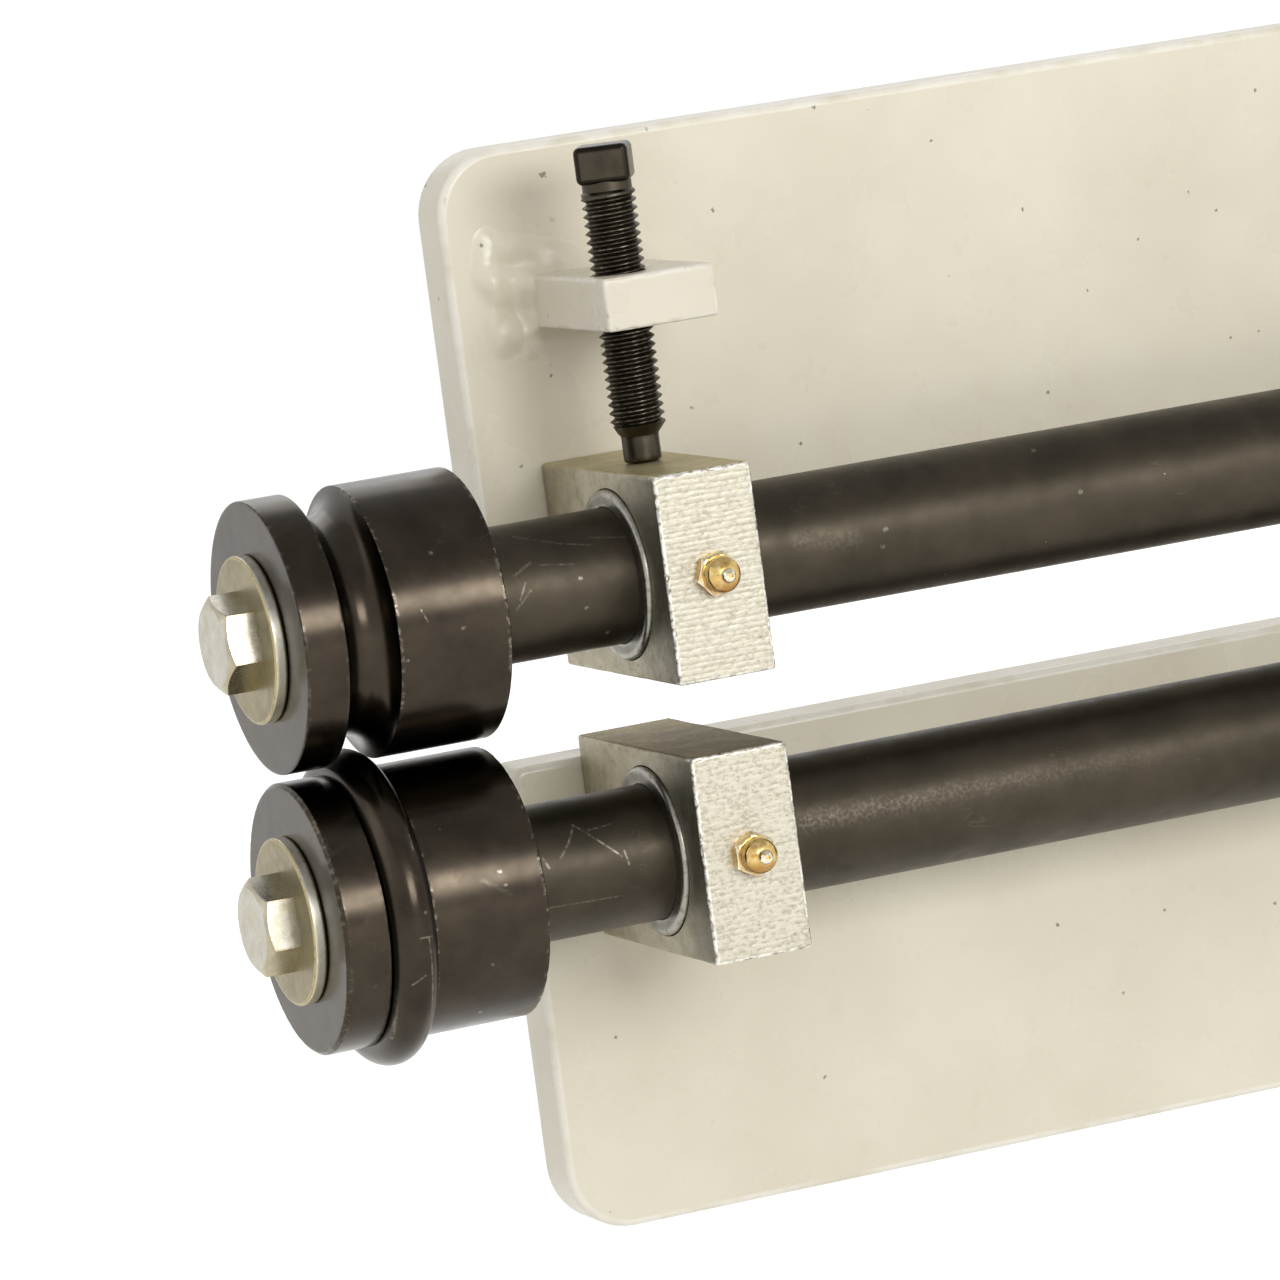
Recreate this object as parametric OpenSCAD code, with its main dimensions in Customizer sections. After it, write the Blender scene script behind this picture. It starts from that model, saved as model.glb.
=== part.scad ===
// Bead roller for sheet metal: a deep throat plate frame with two geared shafts,
// a pair of beading dies on their front ends, a screw that sets the upper shaft's
// height, and a crank on the lower shaft.
// Millimetres. +X runs along the shafts towards the crank, +Y away from the shafts
// through the plate, +Z up. The origin is the centre of the four bench holes, on the
// underside of the foot.

/* [Frame plate] */
// Length of the plate along the shafts
plate_l = 577; // [540:1:640]
// Height of the plate
plate_h = 247; // [235:1:300]
// Thickness of the plate
plate_t = 15; // [12:0.5:20]
// Radius of the plate's outer corners
plate_corner_r = 15; // [5:1:25]
// How far the plate's rear edge lies behind the centre of the foot
plate_rear = 85; // [80:1:95]
// Depth of the throat, from the bead to the end of the slot
throat = 457; // [400:1:470]
// Height of the slot between the two arms
slot_h = 26; // [20:1:30]
// Radius at the two corners of the slot's mouth
mouth_r = 3; // [1:0.5:6]
// Height of the sheet line above the plate's lower edge
sheet_h = 121.5; // [115:0.5:130]

/* [Foot] */
// Length of the foot along the shafts
foot_l = 180; // [165:1:190]
// Width of the foot
foot_w = 120; // [110:1:140]
// Thickness of the foot
foot_t = 10; // [8:0.5:14]
// Radius of the foot's corners
foot_corner_r = 12; // [5:1:15]
// Distance of the bench holes from the foot's ends
bench_in_x = 15; // [13:1:20]
// Distance of the bench holes from the foot's long sides
bench_in_y = 15; // [13:1:16]
// Diameter of the bench holes
bench_hole_d = 11; // [9:0.5:13]
// Height of the gussets
gusset_h = 42; // [30:1:45]
// Reach of the gussets away from the plate
gusset_reach = 40; // [30:1:42]
// Thickness of the gussets
gusset_t = 8; // [6:0.5:10]
// Distance of the gussets' middles from the foot's ends
gusset_in = 38; // [34:1:45]
// Leg of the welds between the plate and the foot
foot_weld = 5; // [3:0.5:7]

/* [Shafts] */
// Distance between the two shaft axes
centre_dist = 62; // [61.8:0.05:62.3]
// Distance from the plate's front face to the shaft axes
axis_off = 38.7; // [37:0.1:42]
// Diameter of the shafts
shaft_d = 30.4; // [28:0.1:32]
// Diameter of the seat that the dies slide on
seat_d = 22; // [20:0.5:24]
// How far the dies stand in front of the plate
die_reach = 68.2; // [66:0.2:74]
// Free length of the upper shaft behind its gear
upper_tail = 24; // [20:1:30]
// Diameter of that free end, which takes a hub or a second crank
tail_d = 25; // [20:0.5:27]
// How far the lower shaft comes through the crank's hub
lower_tail = 4; // [2:0.5:8]
// Chamfer on the shaft ends
shaft_chamfer = 1.2; // [0.5:0.1:2]
// Radial running clearance of the shafts in their bushes
run_clear = 0.05; // [0.02:0.01:0.09]

/* [Dies] */
// Length of the dies
die_l = 47; // [45:0.5:50]
// Diameter of the dies
die_d = 60; // [58:0.1:60.3]
// Distance of the bead from the dies' front faces
bead_x = 15.5; // [14:0.5:18]
// Radius of the groove in the upper die
groove_r = 5.9; // [5.7:0.1:6.4]
// Radius of the ring on the lower die
ring_r = 5; // [4:0.1:5.1]
// Chamfer on the edges of the dies
die_chamfer = 0.7; // [0.3:0.1:1.5]
// Wider chamfer on the lower die's front edge
die_lead = 1.4; // [0.5:0.1:2]
// Width and height of the die keys
die_key = 6; // [5:0.5:6.5]
// Length of the die keys
die_key_l = 30; // [20:1:36]
// Depth of the key's slot in the shaft
die_key_depth = 3.2; // [2.6:0.1:3.4]
// Gap between the seat's end and the washer, so that the washer grips the die
seat_gap = 1; // [0.5:0.1:2]

/* [Bearing blocks] */
// Thickness of the blocks along the shafts
block_x = 23; // [20:0.5:26]
// Depth of the blocks, away from the plate
block_y = 67; // [64:0.5:70]
// Height of the blocks
block_z = 46; // [44:0.5:48]
// Radius of the blocks' edges
block_edge_r = 1.2; // [0.5:0.1:2]
// Distance from the plate's front edge to the front blocks
front_block_in = 16.2; // [14:0.2:20]
// Distance from the rear blocks to the plate's rear edge
rear_block_in = 65; // [60:0.5:68]
// Outer diameter of the bushes
bush_d = 38; // [35:0.5:40]
// How far the bushes stand proud of their blocks on each side
bush_proud = 0.7; // [0.4:0.1:1]
// Gap between the upper blocks and the plate that they slide on
slide_gap = 0.2; // [0.1:0.05:0.4]
// Diameter of the grease way
grease_way_d = 3; // [2:0.5:4]

/* [Upper shaft adjustment] */
// How far the upper die opens above its place in the photograph, at the bead
die_lift = 6; // [3:0.5:8]
// How far the upper die closes below its place in the photograph, at the bead
die_close = 1.6; // [0.5:0.1:1.65]
// Diameter of the pivot's shoulder in the plate
pivot_d = 14; // [12:0.5:16]
// Radial clearance of the pivot in the plate
pivot_clear = 0.05; // [0.02:0.01:0.09]
// Diameter of the guide stud
guide_d = 12; // [10:0.5:13]
// Clearance of the guide stud in its slot, on each side
guide_clear = 0.4; // [0.2:0.1:0.8]

/* [Adjusting screw and lug] */
// Width of the lug along the shafts
lug_x = 26.5; // [22:0.1:28]
// Reach of the lug in front of the plate
lug_y = 45.5; // [44:0.5:50]
// Thickness of the lug
lug_z = 11.8; // [10:0.1:14]
// Distance from the plate's front edge to the lug
lug_in = 19.1; // [18:0.1:22]
// Leg of the weld round the lug
lug_weld = 6; // [3:0.5:8]
// Height of the lug's underside above the upper shaft's axis
lug_up = 53.4; // [50:0.1:56]
// Outer diameter of the screw's thread
screw_d = 12.2; // [11:0.1:13]
// Radial clearance of the screw in the lug
screw_clear = 0.1; // [0.05:0.05:0.2]
// Whole length of the screw
screw_l = 70.6; // [68:0.1:74]
// Width across the flats of the screw's square head
screw_head_w = 12; // [9:0.1:12.4]
// Height of the screw's head
screw_head_h = 8.4; // [7:0.1:10]
// Length of the neck below the head
screw_neck_h = 2.4; // [1:0.1:4]
// Diameter of the screw's dog point
screw_dog_d = 8.4; // [7:0.1:9]
// Length of the dog point
screw_dog_h = 6; // [4:0.1:7]
// Length of the cone between the thread and the dog point
screw_cone_h = 2.3; // [1:0.1:3]
// Angle that the head is turned to
screw_turn = -16; // [-45:1:45]
// Gap between the screw's point and the upper block
screw_tip_gap = 0.2; // [0.1:0.05:0.4]

/* [Gears] */
// Number of teeth on each gear
gear_teeth = 31; // [29:1:31]
// Face width of the gears
gear_w = 22; // [18:0.5:24]
// Diameter of the gears' hubs
gear_hub_d = 46; // [42:0.5:50]
// Length of the gears' hubs
gear_hub_l = 12; // [11:0.5:16]
// Play between the teeth, along the pitch circle
gear_play = 0.5; // [0.4:0.05:0.6]
// Pressure angle of the teeth
gear_angle = 20; // [20:1:22]
// Depth of the recess in the gears' faces
gear_recess = 1.5; // [1:0.5:3]
// Width and height of the gear keys
gear_key = 8; // [6:0.5:8]
// Depth of the key's slot in the shaft
gear_key_depth = 4; // [3:0.1:4.5]
// Length of the gear keys
gear_key_l = 26; // [20:1:30]
// Gap between a gear or collar and the bush beside it
thrust_gap = 0.3; // [0.2:0.1:0.5]
// Outer diameter of the thrust collars
collar_d = 46; // [42:0.5:50]
// Width of the thrust collars
collar_w = 14; // [12:0.5:18]
// Diameter of the set screws
set_d = 8; // [6:0.5:8]
// Length of the set screws
set_l = 6.5; // [6:0.5:7]

/* [Crank] */
// Distance from the shaft's axis to the grip's axis
crank_r = 200; // [150:5:260]
// Thickness of the crank's arm
arm_t = 12; // [10:0.5:16]
// Width of the arm's outer end
arm_end_w = 32; // [28:0.5:36]
// Width of the arm where it leaves the hub
arm_root_w = 40; // [36:0.5:46]
// Diameter of the crank's hub
hub_d = 50; // [48:0.5:56]
// Length of the crank's hub
hub_l = 38; // [34:0.5:44]
// Gap between the plate's rear edge and the crank's arm
arm_gap = 18; // [16:0.5:30]
// Length of the grip
grip_l = 100; // [80:1:120]
// Largest diameter of the grip
grip_d = 34; // [30:0.5:38]
// Diameter of the grip's ends
grip_end_d = 26; // [24:0.5:28]
// Rounding of the grip's ends
grip_round = 4; // [2:0.5:6]
// Diameter of the spindle in the grip
spindle_d = 12; // [10:0.5:14]
// Radial clearance of the grip on its spindle
grip_clear = 0.1; // [0.05:0.01:0.1]
// Play of the grip along its spindle, at each end
grip_play = 0.5; // [0.3:0.1:1]

/* [Fasteners] */
// Thread diameter of the larger bolts and nuts
bolt_d = 12; // [10:0.5:12]
// Width across the flats of the larger bolts and nuts
bolt_af = 19; // [17:0.5:19]
// Height of the larger bolt heads
bolt_head = 7.5; // [6:0.5:8]
// Length of the die bolts below the washer
die_bolt_l = 30; // [22:1:34]
// Outer diameter of the die washers
die_washer_d = 37; // [34:0.5:38]
// Thickness of the die washers
die_washer_t = 3; // [2:0.5:4]
// Thread diameter of the block bolts
block_bolt_d = 8; // [6:0.5:9]
// Width across the flats of the block bolts
block_bolt_af = 13; // [11:0.5:14]
// Height of the block bolts' heads
block_bolt_head = 5.3; // [4:0.1:6]
// Distance of each block bolt above or below the middle of its pair
block_bolt_z = 9; // [8.6:0.1:9.6]
// Depth of the bolts and studs in the blocks
thread_in = 14; // [10:0.5:16]
// Clearance of the block bolts in the plate
hole_clear = 0.5; // [0.3:0.1:0.8]
// Outer diameter of the block bolts' washers
block_washer_d = 16; // [15:0.5:17]
// Outer diameter of the pivot's washer behind the plate
pivot_washer_d = 26; // [24:0.5:28]
// Thickness of the washers behind the plate
washer_t = 2; // [1.5:0.1:3]
// Outer diameter of the wide washer on the guide stud
guide_washer_d = 34; // [32:0.5:38]
// Height of the nuts
nut_h = 10; // [8:0.5:12]
// How far studs come through their nuts
stud_out = 3; // [2:0.5:5]
// Chamfer on the heads, nuts and thread ends
head_chamfer = 1; // [0.5:0.1:1.5]
// Width across the flats of the crank's set bolt
crank_bolt_af = 13; // [11:0.5:14]
// Height of that bolt's head
crank_bolt_head = 5.5; // [4:0.5:7]
// Width across the flats of the grease nipples
nipple_af = 9; // [8:0.5:10]

/* [Hidden] */

// Overrun of every cut past the face that it opens
over = 1;
// Smoothness of round shapes
round_fn = 96;
small_fn = 48;
hex_fn = 6;
square_fn = 4;

// Bench holes and gussets on the foot
bench_x = foot_l - 2 * bench_in_x;
bench_y = foot_w - 2 * bench_in_y;
gusset_x = foot_l / 2 - gusset_in;
// Heights of the sheet line and of the two shaft axes
mid_z = foot_t + sheet_h;
upper_z = mid_z + centre_dist / 2;
lower_z = mid_z - centre_dist / 2;
// Places across the machine
face_y = -plate_t / 2;
back_y = plate_t / 2;
axis_y = face_y - axis_off;
near_y = face_y - block_y;
// Places along the machine
plate_front = plate_rear - plate_l;
die_face = plate_front - die_reach;
bead_at = die_face + bead_x;
shoulder_x = die_face + die_l;
slot_end = bead_at + throat;
front_block_x = plate_front + front_block_in;
rear_block_x = plate_rear - rear_block_in - block_x;
front_mid_x = front_block_x + block_x / 2;
rear_mid_x = rear_block_x + block_x / 2;
rear_block_end = rear_block_x + block_x;
gear_x = rear_block_end + bush_proud + thrust_gap;
gear_hub_x = gear_x + gear_w;
gear_end = gear_hub_x + gear_hub_l;
collar_x = rear_block_x - bush_proud - thrust_gap - collar_w;
upper_end = gear_end + upper_tail;
arm_x = plate_rear + arm_gap;
hub_x = arm_x + arm_t - hub_l;
lower_end = arm_x + arm_t + lower_tail;
// Radii that pieces share
shaft_r = shaft_d / 2;
seat_r = seat_d / 2;
die_r = die_d / 2;
bush_r = bush_d / 2;
bolt_r = bolt_d / 2;
bush_bore_r = shaft_r + run_clear;
// Middle of each pair of block bolts: of the block's part below the slot
block_pair_z = (lower_z - block_z / 2 + mid_z - slot_h / 2) / 2;
// Travel of the guide stud in its slot, from the travel of the die
pivot_to_bead = rear_mid_x - bead_at;
pivot_to_guide = rear_mid_x - front_mid_x;
guide_up = die_lift * pivot_to_guide / pivot_to_bead;
guide_down = die_close * pivot_to_guide / pivot_to_bead;
// Adjusting screw and its lug, from the screw's point up
screw_x = front_mid_x;
screw_y = near_y + block_y / 2;
lug_at = plate_front + lug_in;
lug_low = upper_z + lug_up;
block_top = upper_z + block_z / 2;
screw_tip = block_top + screw_tip_gap;
screw_thread_l = screw_l - screw_dog_h - screw_cone_h - screw_neck_h - screw_head_h;
// The neck is as wide as the thread's root
neck_share = 0.84;
// Gear teeth: their depth below the pitch circle and the rim below them, as shares of the module
root_share = 1.25;
rim_share = 1.5;
gear_pitch_r = centre_dist / 2;
gear_module = centre_dist / gear_teeth;
gear_tip_r = gear_pitch_r + gear_module;
gear_root_r = gear_pitch_r - gear_module * root_share;
gear_base_r = gear_pitch_r * cos(gear_angle);
flank_steps = 4;
// How far a set screw's blank reaches past the shaft's surface, which then trims its point
set_seat = 1;
// Grip
grip_x = arm_x + arm_t + grip_play;
spindle_head_h = 6;
spindle_head_d = 22;
spindle_recess = 4;
// Grease nipple: hexagon, cone, neck and ball, and the angles that the two rows are turned to
nipple_hex_h = 4.6;
nipple_cone_d = 7.2;
nipple_cone_h = 1;
nipple_neck_d = 3;
nipple_neck_h = 0.2;
nipple_ball_d = 4;
nipple_thread_d = 6;
nipple_thread_l = 5;
upper_nipple_turn = 11;
lower_nipple_turn = 30;

echo(upper_z = upper_z, lower_z = lower_z, axis_y = axis_y, pivot_x = rear_mid_x);
echo(tilt_up = asin(die_lift / pivot_to_bead), tilt_down = -asin(die_close / pivot_to_bead));
echo(screw_per_radian = (rear_mid_x - screw_x) / 1000, upper_end = upper_end, lower_end = lower_end);

// A rod along X, from x0 to x1
module rod_x(x0, x1, r, y, z, fn = round_fn) {
    translate([x0, y, z])
        rotate([0, 90, 0])
            cylinder(h = x1 - x0, r = r, $fn = fn);
}

// A rod along Y, from y0 to y1
module rod_y(y0, y1, r, x, z, fn = round_fn) {
    translate([x, y0, z])
        rotate([-90, 0, 0])
            cylinder(h = y1 - y0, r = r, $fn = fn);
}

// A profile of radius against length, turned about a shaft's axis from x on
module turned_x(x, y, z) {
    translate([x, y, z])
        rotate([0, 90, 0])
            rotate([0, 0, 180])
                rotate_extrude($fn = round_fn)
                    children();
}

// A flat outline with round corners, centred on x and y
module round_rect(w, h, r) {
    union() {
        square([w - 2 * r, h], center = true);
        square([w, h - 2 * r], center = true);
        for (sx = [-1, 1])
            for (sy = [-1, 1])
                translate([sx * (w / 2 - r), sy * (h / 2 - r)])
                    circle(r = r, $fn = small_fn);
    }
}

// A hexagon's corner radius for a width across flats
function corner_r(af) = af / 2 / cos(30);

// A hexagon head or nut with chamfered corners, its face at z = 0 and its crown at z = h
module hex_head(af, h, two_sided = false) {
    intersection() {
        cylinder(h = h, r = corner_r(af), $fn = hex_fn);
        rotate_extrude($fn = small_fn)
            polygon([
                [0, 0],
                [two_sided ? af / 2 : corner_r(af), 0],
                [corner_r(af), two_sided ? head_chamfer / 2 : 0],
                [corner_r(af), h - head_chamfer / 2],
                [af / 2 - head_chamfer / 4, h],
                [0, h]
            ]);
    }
}

// A bolt along +Z with its head's bearing face at z = 0, head below and shank above
module bolt(d, af, head, l) {
    union() {
        rotate([180, 0, 0])
            hex_head(af, head);
        cylinder(h = l - head_chamfer, r = d / 2, $fn = small_fn);
        translate([0, 0, l - head_chamfer])
            cylinder(h = head_chamfer, r1 = d / 2, r2 = d / 2 - head_chamfer, $fn = small_fn);
    }
}

// A flat washer along +Z from z = 0
module washer(od, id, t) {
    difference() {
        cylinder(h = t, r = od / 2, $fn = round_fn);
        translate([0, 0, -over])
            cylinder(h = t + 2 * over, r = id / 2, $fn = small_fn);
    }
}

// Frame

module plate_outline() {
    difference() {
        translate([plate_rear - plate_l / 2, foot_t + plate_h / 2])
            round_rect(plate_l, plate_h, plate_corner_r);
        // the slot, with a round end
        translate([plate_front - over, mid_z - slot_h / 2])
            square([slot_end - slot_h / 2 - plate_front + over, slot_h]);
        translate([slot_end - slot_h / 2, mid_z])
            circle(r = slot_h / 2, $fn = round_fn);
        // the two rounded corners of its mouth
        for (s = [-1, 1])
            translate([plate_front, mid_z + s * slot_h / 2])
                difference() {
                    translate([0, s * mouth_r / 2])
                        square([2 * mouth_r, mouth_r], center = true);
                    translate([mouth_r, s * mouth_r])
                        circle(r = mouth_r, $fn = small_fn);
                }
        // the slot that guides the upper front block
        for (z = [upper_z - guide_down, upper_z + guide_up])
            translate([front_mid_x, z])
                circle(r = guide_d / 2 + guide_clear, $fn = small_fn);
        translate([front_mid_x - guide_d / 2 - guide_clear, upper_z - guide_down])
            square([guide_d + 2 * guide_clear, guide_up + guide_down]);
        // the bore that the upper rear block turns on
        translate([rear_mid_x, upper_z])
            circle(r = pivot_d / 2 + pivot_clear, $fn = round_fn);
        // the holes for the lower blocks' bolts
        for (x = [front_mid_x, rear_mid_x])
            for (s = [-1, 1])
                translate([x, block_pair_z + s * block_bolt_z])
                    circle(r = block_bolt_d / 2 + hole_clear, $fn = small_fn);
    }
}

module frame_plate() {
    color("antiquewhite")
        translate([0, back_y, 0])
            rotate([90, 0, 0])
                linear_extrude(plate_t)
                    plate_outline();
}

module mounting_foot() {
    color("antiquewhite")
        linear_extrude(foot_t)
            difference() {
                round_rect(foot_l, foot_w, foot_corner_r);
                for (sx = [-1, 1])
                    for (sy = [-1, 1])
                        translate([sx * bench_x / 2, sy * bench_y / 2])
                            circle(r = bench_hole_d / 2, $fn = small_fn);
            }
}

// Four three-cornered gussets with a blunt toe, two on each side of the plate
module foot_gussets() {
    toe = gusset_t / 2;
    color("antiquewhite")
        for (sx = [-1, 1])
            for (sy = [-1, 1])
                translate([sx * gusset_x - gusset_t / 2, sy * back_y, foot_t])
                    rotate([90, 0, 90])
                        linear_extrude(gusset_t)
                            polygon([
                                [0, 0],
                                [sy * gusset_reach, 0],
                                [sy * gusset_reach, toe],
                                [sy * toe, gusset_h],
                                [0, gusset_h]
                            ]);
}

module adjuster_lug() {
    color("antiquewhite")
        difference() {
            translate([lug_at, face_y - lug_y, lug_low])
                cube([lug_x, lug_y, lug_z]);
            translate([screw_x, screw_y, lug_low - over])
                cylinder(h = lug_z + 2 * over, r = screw_d / 2 + screw_clear, $fn = round_fn);
        }
}

// The weld round the lug: two trapezoid bars crossed to a mitred ring
module lug_weld_ring() {
    lug_end = lug_at + lug_x;
    lug_top = lug_low + lug_z;
    difference() {
        intersection() {
            translate([0, face_y, lug_low - lug_weld])
                linear_extrude(lug_z + 2 * lug_weld)
                    polygon([
                        [lug_at - lug_weld, 0],
                        [lug_end + lug_weld, 0],
                        [lug_end, -lug_weld],
                        [lug_at, -lug_weld]
                    ]);
            translate([lug_at - lug_weld, face_y, 0])
                rotate([90, 0, 90])
                    linear_extrude(lug_x + 2 * lug_weld)
                        polygon([
                            [0, lug_low - lug_weld],
                            [0, lug_top + lug_weld],
                            [-lug_weld, lug_top],
                            [-lug_weld, lug_low]
                        ]);
        }
        translate([lug_at, face_y - lug_weld - over, lug_low])
            cube([lug_x, lug_weld + 2 * over, lug_z]);
    }
}

// The welds along both sides of the plate on the foot, between the gussets
module foot_weld_beads() {
    difference() {
        for (s = [-1, 1])
            translate([foot_weld - foot_l / 2, s * back_y, foot_t])
                rotate([90, 0, 90])
                    linear_extrude(foot_l / 2 + plate_rear - 2 * foot_weld)
                        polygon([[0, 0], [s * foot_weld, 0], [0, foot_weld]]);
        for (s = [-1, 1])
            translate([s * gusset_x - gusset_t / 2, -foot_w / 2, foot_t - over])
                cube([gusset_t, foot_w, foot_weld + 2 * over]);
    }
}

module frame_welds() {
    color("antiquewhite") {
        lug_weld_ring();
        foot_weld_beads();
    }
}

// Square head screw with a dog point, its thread drawn as a plain rod
module adjusting_screw() {
    thread_r = screw_d / 2;
    dog_r = screw_dog_d / 2;
    // the cone that takes the corners off starts inside the flats and ends outside the corners
    head_in = screw_head_w / 2 - head_chamfer / 4;
    head_out = screw_head_w / sqrt(2) + head_chamfer / 4;
    color("dimgray")
        translate([screw_x, screw_y, screw_tip])
            union() {
                rotate_extrude($fn = small_fn)
                    polygon([
                        [0, 0],
                        [dog_r - head_chamfer / 2, 0],
                        [dog_r, head_chamfer / 2],
                        [dog_r, screw_dog_h],
                        [thread_r, screw_dog_h + screw_cone_h],
                        [thread_r, screw_dog_h + screw_cone_h + screw_thread_l],
                        [thread_r * neck_share, screw_dog_h + screw_cone_h + screw_thread_l],
                        [thread_r * neck_share, screw_l - screw_head_h],
                        [0, screw_l - screw_head_h]
                    ]);
                translate([0, 0, screw_l - screw_head_h])
                    rotate([0, 0, screw_turn])
                        intersection() {
                            translate([-screw_head_w / 2, -screw_head_w / 2, 0])
                                cube([screw_head_w, screw_head_w, screw_head_h]);
                            rotate_extrude($fn = small_fn)
                                polygon([
                                    [0, 0],
                                    [head_in, 0],
                                    [head_out, head_chamfer],
                                    [head_out, screw_head_h - head_chamfer],
                                    [head_in, screw_head_h],
                                    [0, screw_head_h]
                                ]);
                        }
            }
}

// Bearing blocks

// A block with its bush's seat, its grease way and its nipple's hole, its near face at near_y
module block_body(x, z, gap) {
    depth = block_y - gap;
    difference() {
        intersection() {
            translate([x + block_x / 2, near_y + depth / 2, z - block_z / 2])
                linear_extrude(block_z)
                    round_rect(block_x, depth, block_edge_r);
            translate([x + block_x / 2, near_y + depth, z])
                rotate([90, 0, 0])
                    linear_extrude(depth)
                        round_rect(block_x, block_z, block_edge_r);
        }
        rod_x(x - over, x + block_x + over, bush_r, axis_y, z);
        rod_y(near_y - over, axis_y, grease_way_d / 2, x + block_x / 2, z, small_fn);
        rod_y(near_y - over, near_y + nipple_thread_l, nipple_thread_d / 2, x + block_x / 2, z, small_fn);
    }
}

// A lower block, held by two bolts from behind the plate
module lower_block(x) {
    color("gray")
        difference() {
            block_body(x, lower_z, 0);
            for (s = [-1, 1])
                rod_y(face_y - thread_in, face_y + over, block_bolt_d / 2,
                      x + block_x / 2, block_pair_z + s * block_bolt_z, small_fn);
        }
}

// An upper block, held by one stud or pivot bolt
module upper_block(x, stud_d) {
    color("gray")
        difference() {
            block_body(x, upper_z, slide_gap);
            rod_y(face_y - thread_in, face_y + over, stud_d / 2, x + block_x / 2, upper_z, small_fn);
        }
}

module bush(x, z) {
    color("lightgray")
        difference() {
            rod_x(x - bush_proud, x + block_x + bush_proud, bush_r, axis_y, z);
            rod_x(x - bush_proud - over, x + block_x + bush_proud + over, bush_bore_r, axis_y, z);
            rod_y(axis_y - bush_r - over, axis_y, grease_way_d / 2, x + block_x / 2, z, small_fn);
        }
}

// A grease nipple: a threaded end in the block, a hexagon, a cone, a neck and a ball
module grease_nipple(x, z, turn) {
    cone_z = nipple_hex_h + nipple_cone_h;
    ball_r = nipple_ball_d / 2;
    neck_r = nipple_neck_d / 2;
    ball_z = cone_z + nipple_neck_h + sqrt(ball_r * ball_r - neck_r * neck_r);
    cone_slope = (nipple_cone_d / 2 - neck_r) / nipple_cone_h;
    sunk = nipple_cone_h / 4;
    color("goldenrod")
        translate([x + block_x / 2, near_y, z])
            rotate([90, 0, 0])
                difference() {
                    union() {
                        translate([0, 0, -nipple_thread_l])
                            cylinder(h = nipple_thread_l, r = nipple_thread_d / 2, $fn = small_fn);
                        rotate([0, 0, turn])
                            hex_head(nipple_af, nipple_hex_h);
                        rotate_extrude($fn = small_fn)
                            polygon([
                                [0, nipple_hex_h - sunk],
                                [nipple_cone_d / 2 + sunk * cone_slope, nipple_hex_h - sunk],
                                [neck_r, cone_z],
                                [neck_r, ball_z],
                                [0, ball_z]
                            ]);
                        translate([0, 0, ball_z])
                            sphere(r = ball_r, $fn = small_fn);
                    }
                    translate([0, 0, -nipple_thread_l - over])
                        cylinder(h = nipple_thread_l + nipple_hex_h + over, r = grease_way_d / 4,
                                 $fn = small_fn);
                }
}

module lower_block_bolts() {
    color("silver")
        for (x = [front_mid_x, rear_mid_x])
            for (s = [-1, 1])
                translate([x, back_y + washer_t, block_pair_z + s * block_bolt_z])
                    rotate([90, 0, 0])
                        bolt(block_bolt_d, block_bolt_af, block_bolt_head, washer_t + plate_t + thread_in);
}

module lower_block_washers() {
    color("silver")
        for (x = [front_mid_x, rear_mid_x])
            for (s = [-1, 1])
                translate([x, back_y + washer_t, block_pair_z + s * block_bolt_z])
                    rotate([90, 0, 0])
                        washer(block_washer_d, block_bolt_d, washer_t);
}

// Guide and pivot of the upper blocks

module guide_stud() {
    nut_end = back_y + slide_gap + washer_t + nut_h + stud_out;
    color("silver")
        union() {
            rod_y(face_y - thread_in, nut_end - head_chamfer, guide_d / 2, front_mid_x, upper_z, small_fn);
            translate([front_mid_x, nut_end - head_chamfer, upper_z])
                rotate([-90, 0, 0])
                    cylinder(h = head_chamfer, r1 = guide_d / 2, r2 = guide_d / 2 - head_chamfer,
                             $fn = small_fn);
        }
}

module guide_washer() {
    color("silver")
        translate([front_mid_x, back_y + slide_gap, upper_z])
            rotate([-90, 0, 0])
                washer(guide_washer_d, guide_d, washer_t);
}

module guide_nut() {
    color("silver")
        translate([front_mid_x, back_y + slide_gap + washer_t, upper_z])
            rotate([-90, 0, 0])
                difference() {
                    hex_head(bolt_af, nut_h, true);
                    translate([0, 0, -over])
                        cylinder(h = nut_h + 2 * over, r = guide_d / 2, $fn = small_fn);
                }
}

// Shoulder bolt: the shoulder turns in the plate and the thread goes into the block
module pivot_bolt() {
    shoulder = plate_t + 2 * slide_gap + washer_t;
    color("silver")
        translate([rear_mid_x, back_y + slide_gap + washer_t, upper_z])
            rotate([90, 0, 0])
                union() {
                    bolt(bolt_d, bolt_af, bolt_head, shoulder + thread_in - slide_gap);
                    cylinder(h = shoulder, r = pivot_d / 2, $fn = round_fn);
                }
}

module pivot_washer() {
    color("silver")
        translate([rear_mid_x, back_y + slide_gap, upper_z])
            rotate([-90, 0, 0])
                washer(pivot_washer_d, pivot_d, washer_t);
}

// Shafts

// A key's slot or the key itself: a box from the shaft's slot up, its width along Y
module key_box(x, l, key, shaft_radius, depth, z) {
    translate([x, axis_y - key / 2, z + shaft_radius - depth])
        cube([l, key, key]);
}

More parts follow.
